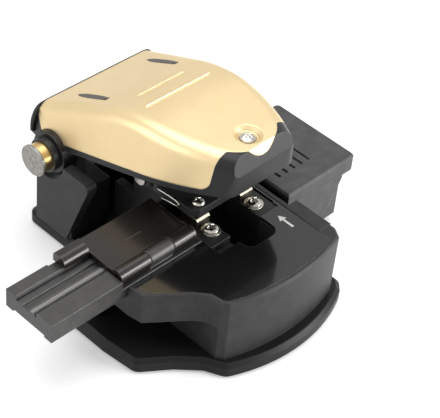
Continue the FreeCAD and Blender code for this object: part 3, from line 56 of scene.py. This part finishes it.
def camera():
    turn, tilt, roll = (math.radians(angle) for angle in (CAMERA_TURN, CAMERA_TILT, CAMERA_ROLL))
    forward = Vector((math.sin(turn) * math.cos(tilt), math.cos(turn) * math.cos(tilt), -math.sin(tilt)))
    right = Vector((math.cos(turn), -math.sin(turn), 0))
    up = right.cross(forward)
    rolled_right = right * math.cos(roll) + up * math.sin(roll)
    rolled_up = up * math.cos(roll) - right * math.sin(roll)
    data = bpy.data.cameras.new("camera")
    data.sensor_width = SENSOR_WIDTH
    data.lens = FOCAL_PIXELS / PICTURE_WIDTH * SENSOR_WIDTH
    data.clip_start = 0.02
    data.clip_end = 20
    view = bpy.data.objects.new("camera", data)
    bpy.context.scene.collection.objects.link(view)
    place = Matrix((rolled_right, rolled_up, -forward)).transposed().to_4x4()
    place.translation = Vector(CAMERA_PLACE)
    view.matrix_world = place
    bpy.context.scene.camera = view


# --- material helpers --------------------------------------------------------------------------

class Graph:
    """A node tree with short calls for the nodes used here."""

    def __init__(self, name):
        self.material = bpy.data.materials.new(name)
        self.material.use_nodes = True
        self.tree = self.material.node_tree
        self.shader = self.tree.nodes["Principled BSDF"]
        self.output = self.tree.nodes["Material Output"]
        self.place = self.tree.nodes.new("ShaderNodeTexCoord").outputs["Object"]

    def link(self, source, target):
        self.tree.links.new(source, target)

    def set(self, socket, value):
        if isinstance(value, bpy.types.NodeSocket):
            self.link(value, socket)
        elif isinstance(value, tuple) and len(value) == 3 and socket.type == "RGBA":
            socket.default_value = (*value, 1)
        else:
            socket.default_value = value

    def math(self, kind, one, two):
        node = self.tree.nodes.new("ShaderNodeMath")
        node.operation = kind
        self.set(node.inputs[0], one)
        self.set(node.inputs[1], two)
        return node.outputs[0]

    def noise(self, size, detail, stretch=(1, 1, 1)):
        """Noise whose cells are about size metres across."""
        mapping = self.tree.nodes.new("ShaderNodeMapping")
        mapping.inputs["Scale"].default_value = tuple(factor / size for factor in stretch)
        self.link(self.place, mapping.inputs["Vector"])
        node = self.tree.nodes.new("ShaderNodeTexNoise")
        node.inputs["Scale"].default_value = 1.0
        node.inputs["Detail"].default_value = detail
        node.inputs["Roughness"].default_value = 0.6
        self.link(mapping.outputs[0], node.inputs["Vector"])
        return node.outputs["Fac"]

    def ramp(self, source, low, high, low_value=0.0, high_value=1.0):
        node = self.tree.nodes.new("ShaderNodeMapRange")
        node.interpolation_type = "SMOOTHSTEP"
        self.link(source, node.inputs["Value"])
        ends = {"From Min": low, "From Max": high, "To Min": low_value, "To Max": high_value}
        for name, value in ends.items():
            node.inputs[name].default_value = value
        return node.outputs[0]

    def mix(self, factor, one, two):
        node = self.tree.nodes.new("ShaderNodeMix")
        node.data_type = "RGBA"
        self.set(node.inputs[0], factor)
        self.set(node.inputs[6], one)
        self.set(node.inputs[7], two)
        return node.outputs[2]

    def split(self):
        node = self.tree.nodes.new("ShaderNodeSeparateXYZ")
        self.link(self.place, node.inputs[0])
        return node.outputs

    def bump(self, height, distance, normal):
        node = self.tree.nodes.new("ShaderNodeBump")
        node.inputs["Strength"].default_value = 1.0
        node.inputs["Distance"].default_value = distance
        self.link(height, node.inputs["Height"])
        self.link(normal, node.inputs["Normal"])
        return node.outputs[0]

    def rounded(self, radius):
        node = self.tree.nodes.new("ShaderNodeBevel")
        node.samples = 6
        node.inputs["Radius"].default_value = radius
        return node.outputs[0]

    def edge(self, radius):
        """1 on convex and concave edges, 0 on flat faces."""
        soft = self.rounded(radius)
        plain = self.tree.nodes.new("ShaderNodeNewGeometry").outputs["Normal"]
        dot = self.tree.nodes.new("ShaderNodeVectorMath")
        dot.operation = "DOT_PRODUCT"
        self.link(soft, dot.inputs[0])
        self.link(plain, dot.inputs[1])
        flat, sharp = 0.99, 0.80
        return self.ramp(dot.outputs["Value"], flat, sharp)


def finish(name, colour, second, rough, metal=0.0, grain=0.0006, grain_height=0.00002, patch=0.02,
           edge_highlight_colour=None, edge_radius=0.0003, coat=0.0, coat_rough=0.1, stretch=(1, 1, 1), spread=0.08,
           specular=0.5, round_radius=0.0002):
    """A surface with drifting colour, uneven gloss, fine grain and a painted highlight on its edges."""
    graph = Graph(name)
    drift = graph.noise(patch, 4.0)
    fine = graph.noise(grain, 3.0, stretch)
    tone = graph.mix(graph.ramp(drift, 0.3, 0.7), colour, second)
    # Painted highlight: convex and concave edges are lightened towards the edge colour.
    if edge_highlight_colour:
        edge_highlight_mask = graph.math("MULTIPLY", graph.edge(edge_radius), graph.ramp(drift, 0.2, 0.6, 0.5, 1.0))
        tone = graph.mix(edge_highlight_mask, tone, edge_highlight_colour)
    graph.set(graph.shader.inputs["Base Color"], tone)
    uneven = graph.math("MULTIPLY_ADD", fine, spread)
    uneven.node.inputs[2].default_value = rough - spread / 2
    graph.set(graph.shader.inputs["Roughness"], uneven)
    graph.shader.inputs["Metallic"].default_value = metal
    graph.shader.inputs["Specular IOR Level"].default_value = specular
    graph.shader.inputs["Coat Weight"].default_value = coat
    graph.shader.inputs["Coat Roughness"].default_value = coat_rough
    soft = graph.rounded(round_radius)
    graph.link(graph.bump(fine, grain_height, soft), graph.shader.inputs["Normal"])
    return graph


def paint(material, *names):
    for name in names:
        for place in nodes[name].material_slots:
            place.material = material


# --- materials ---------------------------------------------------------------------------------

# Each row: the settings of one finish, then the CAD nodes that wear it.
BLACK_PAINTS = {
    "shell_black": ({"level": 0.010, "rough": 0.34, "grain": 0.0003, "grain_height": 0.000008,
                     "round_radius": 0.0004},
                    ("lever_frame",)),
    "body_black": ({"level": 0.026, "rough": 0.42, "specular": 0.18, "grain": 0.0004,
                    "grain_height": 0.00002, "patch": 0.004, "round_radius": 0.0004},
                   ("housing", "bin_rail", "hinge_ear_left", "hinge_ear_right", "rear_wall")),
    "flange_black": ({"level": 0.010, "rough": 0.38, "specular": 0.14, "grain": 0.0003,
                      "grain_height": 0.00001, "round_radius": 0.0004},
                     ("base_plate",)),
    "deck_gloss": ({"level": 0.006, "rough": 0.16, "grain": 0.002, "grain_height": 0.000002,
                    "coat": 0.6, "coat_rough": 0.06, "spread": 0.04},
                   ("deck_plate",)),
    "block_black": ({"level": 0.016, "rough": 0.42, "grain": 0.0003, "grain_height": 0.00001},
                    ("pad_block_left", "pad_block_right", "clamp_arm", "arm_bracket",
                     "carriage_block", "slider")),
    "bin_black": ({"level": 0.058, "rough": 0.46, "specular": 0.2, "grain": 0.00045,
                   "grain_height": 0.00003, "patch": 0.004, "round_radius": 0.0004},
                  ("bin_box", "bin_lid", "bin_front_panel")),
    "hub_black": ({"level": 0.014, "rough": 0.34, "grain": 0.0004, "grain_height": 0.00001},
                  ("hinge_hub_left", "hinge_hub_right")),
}

METALS = {
    "nickel": ({"colour": (0.50, 0.48, 0.44), "second": (0.42, 0.40, 0.36), "rough": 0.20,
                "grain": 0.0004, "grain_height": 0.000004},
               ("pad_washers", "arm_pin", "bracket_screws", "bottom_screws", "tray_screws", "lid_pin",
                "hinge_shaft", "height_screws", "bin_pins", "lid_magnet", "anvil")),
    "pad_steel": ({"colour": (0.30, 0.27, 0.22), "second": (0.22, 0.20, 0.16), "rough": 0.34,
                   "grain": 0.0003, "grain_height": 0.000006},
                  ("lower_pad_left", "lower_pad_right")),
    "ground_steel": ({"colour": (0.55, 0.55, 0.56), "second": (0.48, 0.48, 0.49), "rough": 0.3,
                      "grain": 0.0003, "grain_height": 0.000006, "stretch": (1, 6, 1)},
                     ("blade_wheel", "blade_holder", "blade_axle", "guide_rail")),
    "brass": ({"colour": (0.70, 0.50, 0.22), "second": (0.58, 0.40, 0.17), "rough": 0.32,
               "grain": 0.0003, "grain_height": 0.000006},
              ("hinge_bush_left", "hinge_bush_right")),
    "disc_nickel": ({"colour": (0.34, 0.33, 0.31), "second": (0.24, 0.235, 0.22), "rough": 0.50,
                     "grain": 0.00045, "grain_height": 0.00003, "patch": 0.0012, "spread": 0.2},
                    ()),
}


def gold():
    # The pale edge colour is a painted highlight along the cover's rounded edges.
    return finish("satin_gold", (0.78, 0.61, 0.35), (0.73, 0.57, 0.32), 0.38, metal=0.75, grain=0.00022,
                  grain_height=0.000006, edge_highlight_colour=(0.96, 0.82, 0.56), edge_radius=0.0004, spread=0.10,
                  round_radius=0.0005).material


def black_paint(name, level, rough, specular=0.3, **more):
    """Near-black paint with a slightly blue tint, a lighter drift and a painted highlight on its edges.
    """
    shade = (level, level, level * 1.02)
    second = (level * 1.35, level * 1.35, level * 1.38)
    # The lighter edge colour is a painted highlight along the edges.
    edge_highlight = (level * 3 + 0.05,) * 3
    return finish(name, shade, second, rough, edge_highlight_colour=edge_highlight, specular=specular, **more).material


def metal(name, colour, second, rough, **more):
    # The brighter edge colour is a painted highlight along the metal's edges.
    bright = tuple(min(1, channel * 1.25) for channel in colour)
    return finish(name, colour, second, rough, metal=1.0, edge_highlight_colour=bright, **more).material


def tray_metal():
    """Dark anodised tray with a bright serrated groove along the fibre, its teeth carrying painted
    highlight and painted shade.
    """
    half_groove, groove_low, pitch = 0.6 * MM, 28.9 * MM, 0.22 * MM
    tooth_height = 0.12 * MM
    # The light edge colour is a painted highlight on the tray's edges.
    graph = finish("tray_metal", (0.030, 0.029, 0.028), (0.044, 0.042, 0.040), 0.42, metal=0.2,
                   grain=0.0004, patch=0.003, round_radius=0.0004, grain_height=0.00002,
                   edge_highlight_colour=(0.16, 0.16, 0.165), edge_radius=0.0003)
    x, y, z = graph.split()
    behind = graph.math("GREATER_THAN", y, -half_groove)
    before = graph.math("LESS_THAN", y, half_groove)
    high = graph.math("GREATER_THAN", z, groove_low)
    strip = graph.math("MULTIPLY", graph.math("MULTIPLY", behind, before), high)
    # The groove's colour follows its teeth: light on the tooth tops as a painted highlight, dark in the
    # valleys as painted shade.
    level = graph.ramp(graph.math("PINGPONG", x, pitch), 0.0, pitch)
    bright = graph.mix(level, (0.05, 0.05, 0.05), (0.46, 0.45, 0.44))
    tone = graph.shader.inputs["Base Color"].links[0].from_socket
    graph.set(graph.shader.inputs["Base Color"], graph.mix(strip, tone, bright))
    normal = graph.shader.inputs["Normal"].links[0].from_socket
    ridged = graph.math("MULTIPLY", level, strip)
    graph.link(graph.bump(ridged, tooth_height, normal), graph.shader.inputs["Normal"])
    return graph.material


def lid_brown():
    # The lighter edge colour is a painted highlight along the lid's edges.
    return finish("lid_brown", (0.011, 0.009, 0.0075), (0.016, 0.013, 0.011), 0.26, grain=0.0004,
                  grain_height=0.000006, edge_highlight_colour=(0.12, 0.10, 0.09), coat=0.1, specular=0.35).material


def rubber():
    return finish("rubber", (0.014, 0.014, 0.014), (0.02, 0.02, 0.02), 0.8, grain=0.0003,
                  grain_height=0.00003).material


def mark_white():
    return finish("mark_white", (0.72, 0.72, 0.70), (0.62, 0.62, 0.60), 0.5, grain=0.0004,
                  patch=0.002).material


def vent_painted_shade():
    # Dark plate colour standing for the slots' openings: painted shade, with a painted highlight on the
    # plates' rims.
    return finish("vent_painted_shade", (0.050, 0.046, 0.038), (0.035, 0.032, 0.026), 0.45, grain=0.0003,
                  grain_height=0.00001, edge_highlight_colour=(0.16, 0.14, 0.10)).material


def dress():
    """Paints the CAD nodes and adds the pieces that share their finishes."""
    made = {}
    for kind, rows in ((black_paint, BLACK_PAINTS), (metal, METALS)):
        for name, (settings, wearers) in rows.items():
            made[name] = kind(name, **settings)
            paint(made[name], *wearers)
    satin = gold()
    paint(satin, "lever_cover")
    paint(tray_metal(), "fibre_tray")
    paint(lid_brown(), "fixture_lid", "lid_tab")
    paint(rubber(), "anti_slip_pad", "upper_pad_left", "upper_pad_right", "lid_pad")
    dish_ring(satin)
    screws(made["nickel"])
    springs(made["nickel"])
    deck_arrow()
    back_bead(made["shell_black"])
    vents()
    hairpin(made["nickel"])
    end_discs(made["disc_nickel"])


# --- pieces made here --------------------------------------------------------------------------

SMOOTH_ANGLE = 35


def make(name, shape, material, body, *stands_for):
    """Turns a bmesh into a piece that rides on a body and stands for the named CAD nodes."""
    bmesh.ops.recalc_face_normals(shape, faces=shape.faces)
    mesh = bpy.data.meshes.new(name)
    shape.to_mesh(mesh)
    shape.free()
    mesh.polygons.foreach_set("use_smooth", [True] * len(mesh.polygons))
    mesh.set_sharp_from_angle(angle=math.radians(SMOOTH_ANGLE))
    mesh.materials.append(material)
    piece = bpy.data.objects.new(name, mesh)
    bpy.context.scene.collection.objects.link(piece)
    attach(piece, body)
    if stands_for:
        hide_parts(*stands_for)


def lathe(shape, centre, profile, around, relief=None):
    """A skin of rings about an upright line; each profile point is (radius, height)."""
    rings = []
    for radius, height in profile:
        ring = []
        for step in range(around if radius else 1):
            turn = 2 * math.pi * step / around
            x, y = radius * math.cos(turn), radius * math.sin(turn)
            drop = relief(x, y, height) if relief else 0.0
            ring.append(shape.verts.new((centre[0] + x, centre[1] + y, height - drop)))
        rings.append(ring)
    for low, high in zip(rings, rings[1:]):
        for step in range(around):
            following = (step + 1) % around
            corners = [low[step % len(low)], low[following % len(low)],
                       high[following % len(high)], high[step % len(high)]]
            shape.faces.new(list(dict.fromkeys(corners)))


def cross_recess(size, depth, dome_low):
    """How far a cross-shaped driver recess lowers the dome at a place."""
    softness = 0.09 * size
    arm_half, arm_reach = 0.14 * size, 0.56 * size

    def inside(distance):
        return max(0.0, min(1.0, distance / softness + 0.5))

    def relief(x, y, height):
        if height < dome_low:
            return 0.0
        along_y = inside(arm_half - abs(x)) * inside(arm_reach - abs(y))
        along_x = inside(arm_half - abs(y)) * inside(arm_reach - abs(x))
        return depth * max(along_y, along_x) * (1.0 - 0.45 * min(1.0, math.hypot(x, y) / arm_reach))
    return relief


def pan_screw(shape, centre, low, seat, top, shank, head):
    """A pan-head screw with a cross recess and a rounded rim."""
    height = top - seat
    shoulder = seat + height * 0.42
    rim = head * 0.96
    profile = [(0, low), (shank, low + shank * 0.3), (shank, seat), (rim, seat),
               (head, seat + height * 0.06), (head, shoulder)]
    steps = 22
    for step in range(1, steps + 1):
        share = 1 - step / steps
        profile.append((head * share, shoulder + (top - shoulder) * (1 - share ** 2.6)))
    lathe(shape, centre, profile, 64, cross_recess(head, height * 0.62, shoulder + height * 0.02))


def pair_in_x(box):
    """The centres and the radius of two equal round things side by side in X that fill a box."""
    (x_low, y_low, _), (x_high, y_high, _) = box
    radius = (y_high - y_low) / 2
    middle = (y_low + y_high) / 2
    return [(x_low + radius, middle), (x_high - radius, middle)], radius


# Heads' heights and shanks' radii of the screws that show.
SCREW_PAIRS = {
    "pad_screws": {"body": "base", "head_height": 1.5 * MM, "shank": 1.1 * MM},
    "arm_screws": {"body": "clamp_arm", "head_height": 1.7 * MM, "shank": 1.0 * MM},
}
COVER_SCREW = {"head_height": 1.2 * MM, "shank": 1.2 * MM}


def middle_of(box):
    """The middle of a box in X and Y."""
    return (box[0][0] + box[1][0]) / 2, (box[0][1] + box[1][1]) / 2


def screws(material):
    for name, screw in SCREW_PAIRS.items():
        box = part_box(name)
        (_, _, low), (_, _, top) = box
        centres, head = pair_in_x(box)
        shape = bmesh.new()
        for centre in centres:
            pan_screw(shape, centre, low, top - screw["head_height"], top, screw["shank"], head)
        make(name + "_detail", shape, material, screw["body"], name)
    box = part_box("cover_screw")
    low, high = box
    shape = bmesh.new()
    pan_screw(shape, middle_of(box), low[2], high[2] - COVER_SCREW["head_height"], high[2],
              COVER_SCREW["shank"], (high[0] - low[0]) / 2)
    make("cover_screw_detail", shape, material, "lever", "cover_screw")


def wire(name, points, thickness, material, body, *stands_for):
    """A round wire along the points that rides on a body and stands for the named CAD nodes."""
    curve = bpy.data.curves.new(name, "CURVE")
    curve.dimensions = "3D"
    curve.bevel_depth = thickness / 2
    curve.bevel_resolution = 3
    curve.use_fill_caps = True
    spline = curve.splines.new("POLY")
    spline.points.add(len(points) - 1)
    for spot, point in zip(spline.points, points):
        spot.co = (*point, 1)
    spline.use_smooth = True
    curve.materials.append(material)
    piece = bpy.data.objects.new(name, curve)
    bpy.context.scene.collection.objects.link(piece)
    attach(piece, body)
    if stands_for:
        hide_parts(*stands_for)


def coil_points(start, axis, radius, thickness, length, turns):
    """A spring's centre line, from start along the axis, with its last turns wound flat."""
    flat_turns, around = 0.4, 24
    axis = Vector(axis)
    across = axis.orthogonal().normalized()
    other = axis.cross(across)
    points = []
    for step in range(int(turns * around) + 1):
        turn = step / around
        share = min(1.0, max(0.0, (turn - flat_turns) / (turns - 2 * flat_turns)))
        spot = Vector(start) + axis * (thickness / 2 + (length - thickness) * share)
        spot += (across * math.cos(2 * math.pi * turn) + other * math.sin(2 * math.pi * turn)) * radius
        points.append(spot)
    return points


ARM_SPRING = {"thickness": 0.5 * MM, "turns": 5}
LEVER_SPRING = {"thickness": 0.7 * MM, "turns": 4.5}


def springs(material):
    low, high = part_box("arm_springs")
    centres, outer = pair_in_x((low, high))
    thickness = ARM_SPRING["thickness"]
    for (x, y), side in zip(centres, ("left", "right")):
        points = coil_points((x, y, low[2]), (0, 0, 1), outer - thickness / 2, thickness,
                             high[2] - low[2], ARM_SPRING["turns"])
        stands_for = ("arm_springs",) if side == "left" else ()
        wire(f"arm_coil_{side}", points, thickness, material, "clamp_arm", *stands_for)
    thickness = LEVER_SPRING["thickness"]
    for side in ("left", "right"):
        low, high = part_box(f"lever_spring_{side}")
        middle = [(one + two) / 2 for one, two in zip(low, high)]
        radius = (high[2] - low[2] - thickness) / 2
        points = coil_points((low[0], middle[1], middle[2]), (1, 0, 0), radius, thickness,
                             high[0] - low[0], LEVER_SPRING["turns"])
        wire(f"lever_coil_{side}", points, thickness, material, "base", f"lever_spring_{side}")


def plate(outline, thickness):
    """A slab on the outline, whose points are (x, y, z), thickened upwards."""
    shape = bmesh.new()
    face = shape.faces.new([shape.verts.new(point) for point in outline])
    thick = bmesh.ops.extrude_face_region(shape, geom=[face])
    for item in thick["geom"]:
        if isinstance(item, bmesh.types.BMVert):
            item.co.z += thickness
    return shape


def deck_arrow():
    """The thin white arrow printed on the deck, pointing to the back."""
    middle, tail, tip = 10.5 * MM, -20.8 * MM, -14.5 * MM
    head_length, head_half, stem_half = 2.3 * MM, 1.35 * MM, 0.4 * MM
    lift, thickness = 0.01 * MM, 0.02 * MM
    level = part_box("deck_plate")[1][2] + lift
    neck = tip - head_length
    outline = [(middle - stem_half, tail), (middle + stem_half, tail), (middle + stem_half, neck),
               (middle + head_half, neck), (middle, tip), (middle - head_half, neck),
               (middle - stem_half, neck)]
    make("arrow", plate([(x, y, level) for x, y in outline], thickness), mark_white(), "base")


def end_discs(material):
    """Turned discs on the hinge's ends, with a ring and two small driver holes round the centre."""
    bevel = 0.25 * MM
    ring = ((0.72, 0.0), (0.36, 0.0), (0.33, 0.16 * MM), (0.28, 0.16 * MM), (0.25, 0.0))
    hole_radius, hole_depth = 0.36 * MM, 0.3 * MM
    holes = ((0.75 * MM, 0.35 * MM), (-0.75 * MM, -0.35 * MM))
    centre_rings = 5
    for side, turn in (("left", -1), ("right", 1)):
        low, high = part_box(f"end_disc_{side}")
        radius, thick = (high[2] - low[2]) / 2, high[0] - low[0]
        profile = [(0, 0), (radius - bevel, 0), (radius, bevel), (radius, thick - bevel),
                   (radius - bevel, thick)]
        profile += [(radius * share, thick - depth) for share, depth in ring]
        profile += [(radius * step / 24, thick) for step in range(centre_rings, 0, -1)]
        profile.append((0, thick))

        def relief(x, y, height, face=thick * 0.99):
            nearest = min(math.hypot(x - one, y - two) for one, two in holes)
            return hole_depth if height > face and nearest < hole_radius else 0.0
        shape = bmesh.new()
        lathe(shape, (0, 0), profile, 48, relief)
        seat = Vector([(one + two) / 2 for one, two in zip(low, high)])
        seat.x -= turn * thick / 2
        place = Matrix.Translation(seat) @ Matrix.Rotation(turn * math.pi / 2, 4, "Y")
        bmesh.ops.transform(shape, matrix=place, verts=shape.verts)
        make(f"end_disc_{side}_detail", shape, material, "base", f"end_disc_{side}")


def dish_ring(material):
    """The dish's floor, a thin gold ring round the cover screw's head."""
    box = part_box("cover_screw")
    inner, outer, top = 2.43 * MM, 3.14 * MM, box[1][2] - 0.8 * MM
    bottom = top - 0.2 * MM
    profile = [(inner, bottom), (outer, top + 0.02 * MM), (outer, bottom), (inner, top - 0.35 * MM),
               (inner, bottom)]
    shape = bmesh.new()
    lathe(shape, middle_of(box), profile, 64)
    bmesh.ops.remove_doubles(shape, verts=shape.verts, dist=0.001 * MM)
    make("dish_ring", shape, material, "lever")


def rod_along(name, points, material, body):
    """A smooth rod through points of (x, y, z, radius) in millimetres."""
    curve = bpy.data.curves.new(name, "CURVE")
    curve.dimensions = "3D"
    curve.bevel_depth = MM
    curve.bevel_resolution = 4
    curve.resolution_u = 8
    curve.use_fill_caps = True
    spline = curve.splines.new("NURBS")
    spline.points.add(len(points) - 1)
    for spot, (x, y, z, radius) in zip(spline.points, points):
        spot.co = (x * MM, y * MM, z * MM, 1)
        spot.radius = radius
    spline.order_u = 3
    spline.use_endpoint_u = True
    curve.materials.append(material)
    piece = bpy.data.objects.new(name, curve)
    bpy.context.scene.collection.objects.link(piece)
    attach(piece, body)


def back_bead(material):
    """The frame's rolled rim round the back of the gold cover, thick at the sides and thin on top."""
    left = [(-24.5, 55.0, 33.8, 0.7), (-24.0, 55.3, 36.0, 1.0), (-23.4, 55.1, 38.6, 1.1),
            (-22.8, 54.7, 40.8, 1.05), (-21.9, 54.5, 42.2, 0.8), (-20.4, 54.35, 42.9, 0.55),
            (-18.0, 54.3, 43.1, 0.5)]
    right = [(-x, y, z, radius) for x, y, z, radius in reversed(left)]
    rod_along("back_bead", left + right, material, "lever")


def vents():
    """Two slots with tapered ends in the cover's sloping back, drawn as thin dark plates on the cover:
    painted shade of the openings.
    """
    dark = vent_painted_shade()
    front, back, half_width, offset = 33.9 * MM, 46.9 * MM, 1.2 * MM, 13.9 * MM
    slope_start, slope_height, slope = 34.0 * MM, 53.03 * MM, 0.4705
    middle, half_length, steps = (front + back) / 2, (back - front) / 2, 28
    for label, centre in (("left", -offset), ("right", offset)):
        outline = []
        for side in (1, -1):
            for step in range(steps):
                along = side * (1 - 2 * step / steps)
                y = middle + half_length * along
                x = centre + side * half_width * (1 - along ** 4)
                outline.append((x, y, slope_height - slope * (y - slope_start)))
        make(f"vent_{label}", plate(outline, 0.05 * MM), dark, "lever")


def hairpin(material):
    """A bent spring wire along the arm's left side, hooked into it at both ends."""
    beside, hooked, radius = -15.62, -14.6, 0.3
    # (y, z) of the upper leg from back to front, the bend and the lower leg
    legs = [(10.4, 35.7), (8.0, 35.9), (4.0, 36.3), (1.6, 36.2), (0.9, 35.3), (1.8, 34.5), (4.5, 34.2),
            (7.6, 33.6), (8.2, 33.4)]
    points = [(hooked, 10.6, 35.7), *((beside, y, z) for y, z in legs), (hooked, 8.4, 33.4)]
    rod_along("hairpin_spring", [(*point, radius) for point in points], material, "clamp_arm")


# --- stage -------------------------------------------------------------------------------------

def backdrop_ray(tree):
    """1 where the camera, a reflection or a see-through ray looks."""
    path = tree.nodes.new("ShaderNodeLightPath")
    result = path.outputs["Is Camera Ray"]
    for name in ("Is Glossy Ray", "Is Transmission Ray"):
        node = tree.nodes.new("ShaderNodeMath")
        node.operation = "MAXIMUM"
        tree.links.new(result, node.inputs[0])
        tree.links.new(path.outputs[name], node.inputs[1])
        result = node.outputs[0]
    return result


FLOOR_HALF, FLOOR_DROP, FLOOR_GLOW = 3.0, 0.0002, 0.30
AMBIENT, BACKDROP = 0.36, 1.0


def floor_white():
    """Pale matt floor that keeps the shadow, lifted towards white for what looks at it."""
    graph = Graph("floor_white")
    tree = graph.tree
    graph.shader.inputs["Base Color"].default_value = (0.86, 0.86, 0.86, 1)
    graph.shader.inputs["Roughness"].default_value = 0.9
    graph.shader.inputs["Specular IOR Level"].default_value = 0.1
    glow = tree.nodes.new("ShaderNodeEmission")
    glow.inputs["Color"].default_value = (1, 1, 1, 1)
    strength = graph.math("MULTIPLY", backdrop_ray(tree), FLOOR_GLOW)
    tree.links.new(strength, glow.inputs["Strength"])
    total = tree.nodes.new("ShaderNodeAddShader")
    tree.links.new(graph.shader.outputs[0], total.inputs[0])
    tree.links.new(glow.outputs[0], total.inputs[1])
    tree.links.new(total.outputs[0], graph.output.inputs["Surface"])
    return graph.material


def floor():
    mesh = bpy.data.meshes.new("floor")
    corners = [(-FLOOR_HALF, -FLOOR_HALF, 0), (FLOOR_HALF, -FLOOR_HALF, 0),
               (FLOOR_HALF, FLOOR_HALF, 0), (-FLOOR_HALF, FLOOR_HALF, 0)]
    mesh.from_pydata(corners, [], [(0, 1, 2, 3)])
    mesh.materials.append(floor_white())
    plane = bpy.data.objects.new("floor", mesh)
    plane.location.z = -FLOOR_DROP
    bpy.context.scene.collection.objects.link(plane)


def studio():
    """A white backdrop that lights the object at a lower, plain level."""
    world = bpy.data.worlds.new("studio")
    bpy.context.scene.world = world
    world.use_nodes = True
    tree = world.node_tree
    background = tree.nodes["Background"]
    background.inputs["Color"].default_value = (1, 1, 1, 1)
    strength = tree.nodes.new("ShaderNodeMapRange")
    strength.inputs["To Min"].default_value = AMBIENT
    strength.inputs["To Max"].default_value = BACKDROP
    tree.links.new(backdrop_ray(tree), strength.inputs["Value"])
    tree.links.new(strength.outputs[0], background.inputs["Strength"])


def stage():
    bpy.context.scene.view_settings.view_transform = "Standard"
    floor()
    studio()


LAMP_TARGET = (0, 0, 0.03)
# Each lamp's place, its width and depth, and its power in watts.
LAMPS = {
    "top": ((0.05, 0.10, 0.75), (0.7, 0.7), 3.9),
    "left": ((-0.65, 0.30, 0.35), (0.5, 0.4), 1.6),
    "front": ((0.45, -0.65, 0.22), (0.5, 0.35), 8.0),
}


def lights():
    for name, (spot, size, power) in LAMPS.items():
        data = bpy.data.lights.new(name, "AREA")
        data.shape = "RECTANGLE"
        data.size, data.size_y = size
        data.energy = power
        light = bpy.data.objects.new(name, data)
        bpy.context.scene.collection.objects.link(light)
        light.location = spot
        direction = Vector(LAMP_TARGET) - Vector(spot)
        light.rotation_euler = direction.to_track_quat("-Z", "Y").to_euler()


camera()
stage()
lights()
dress()
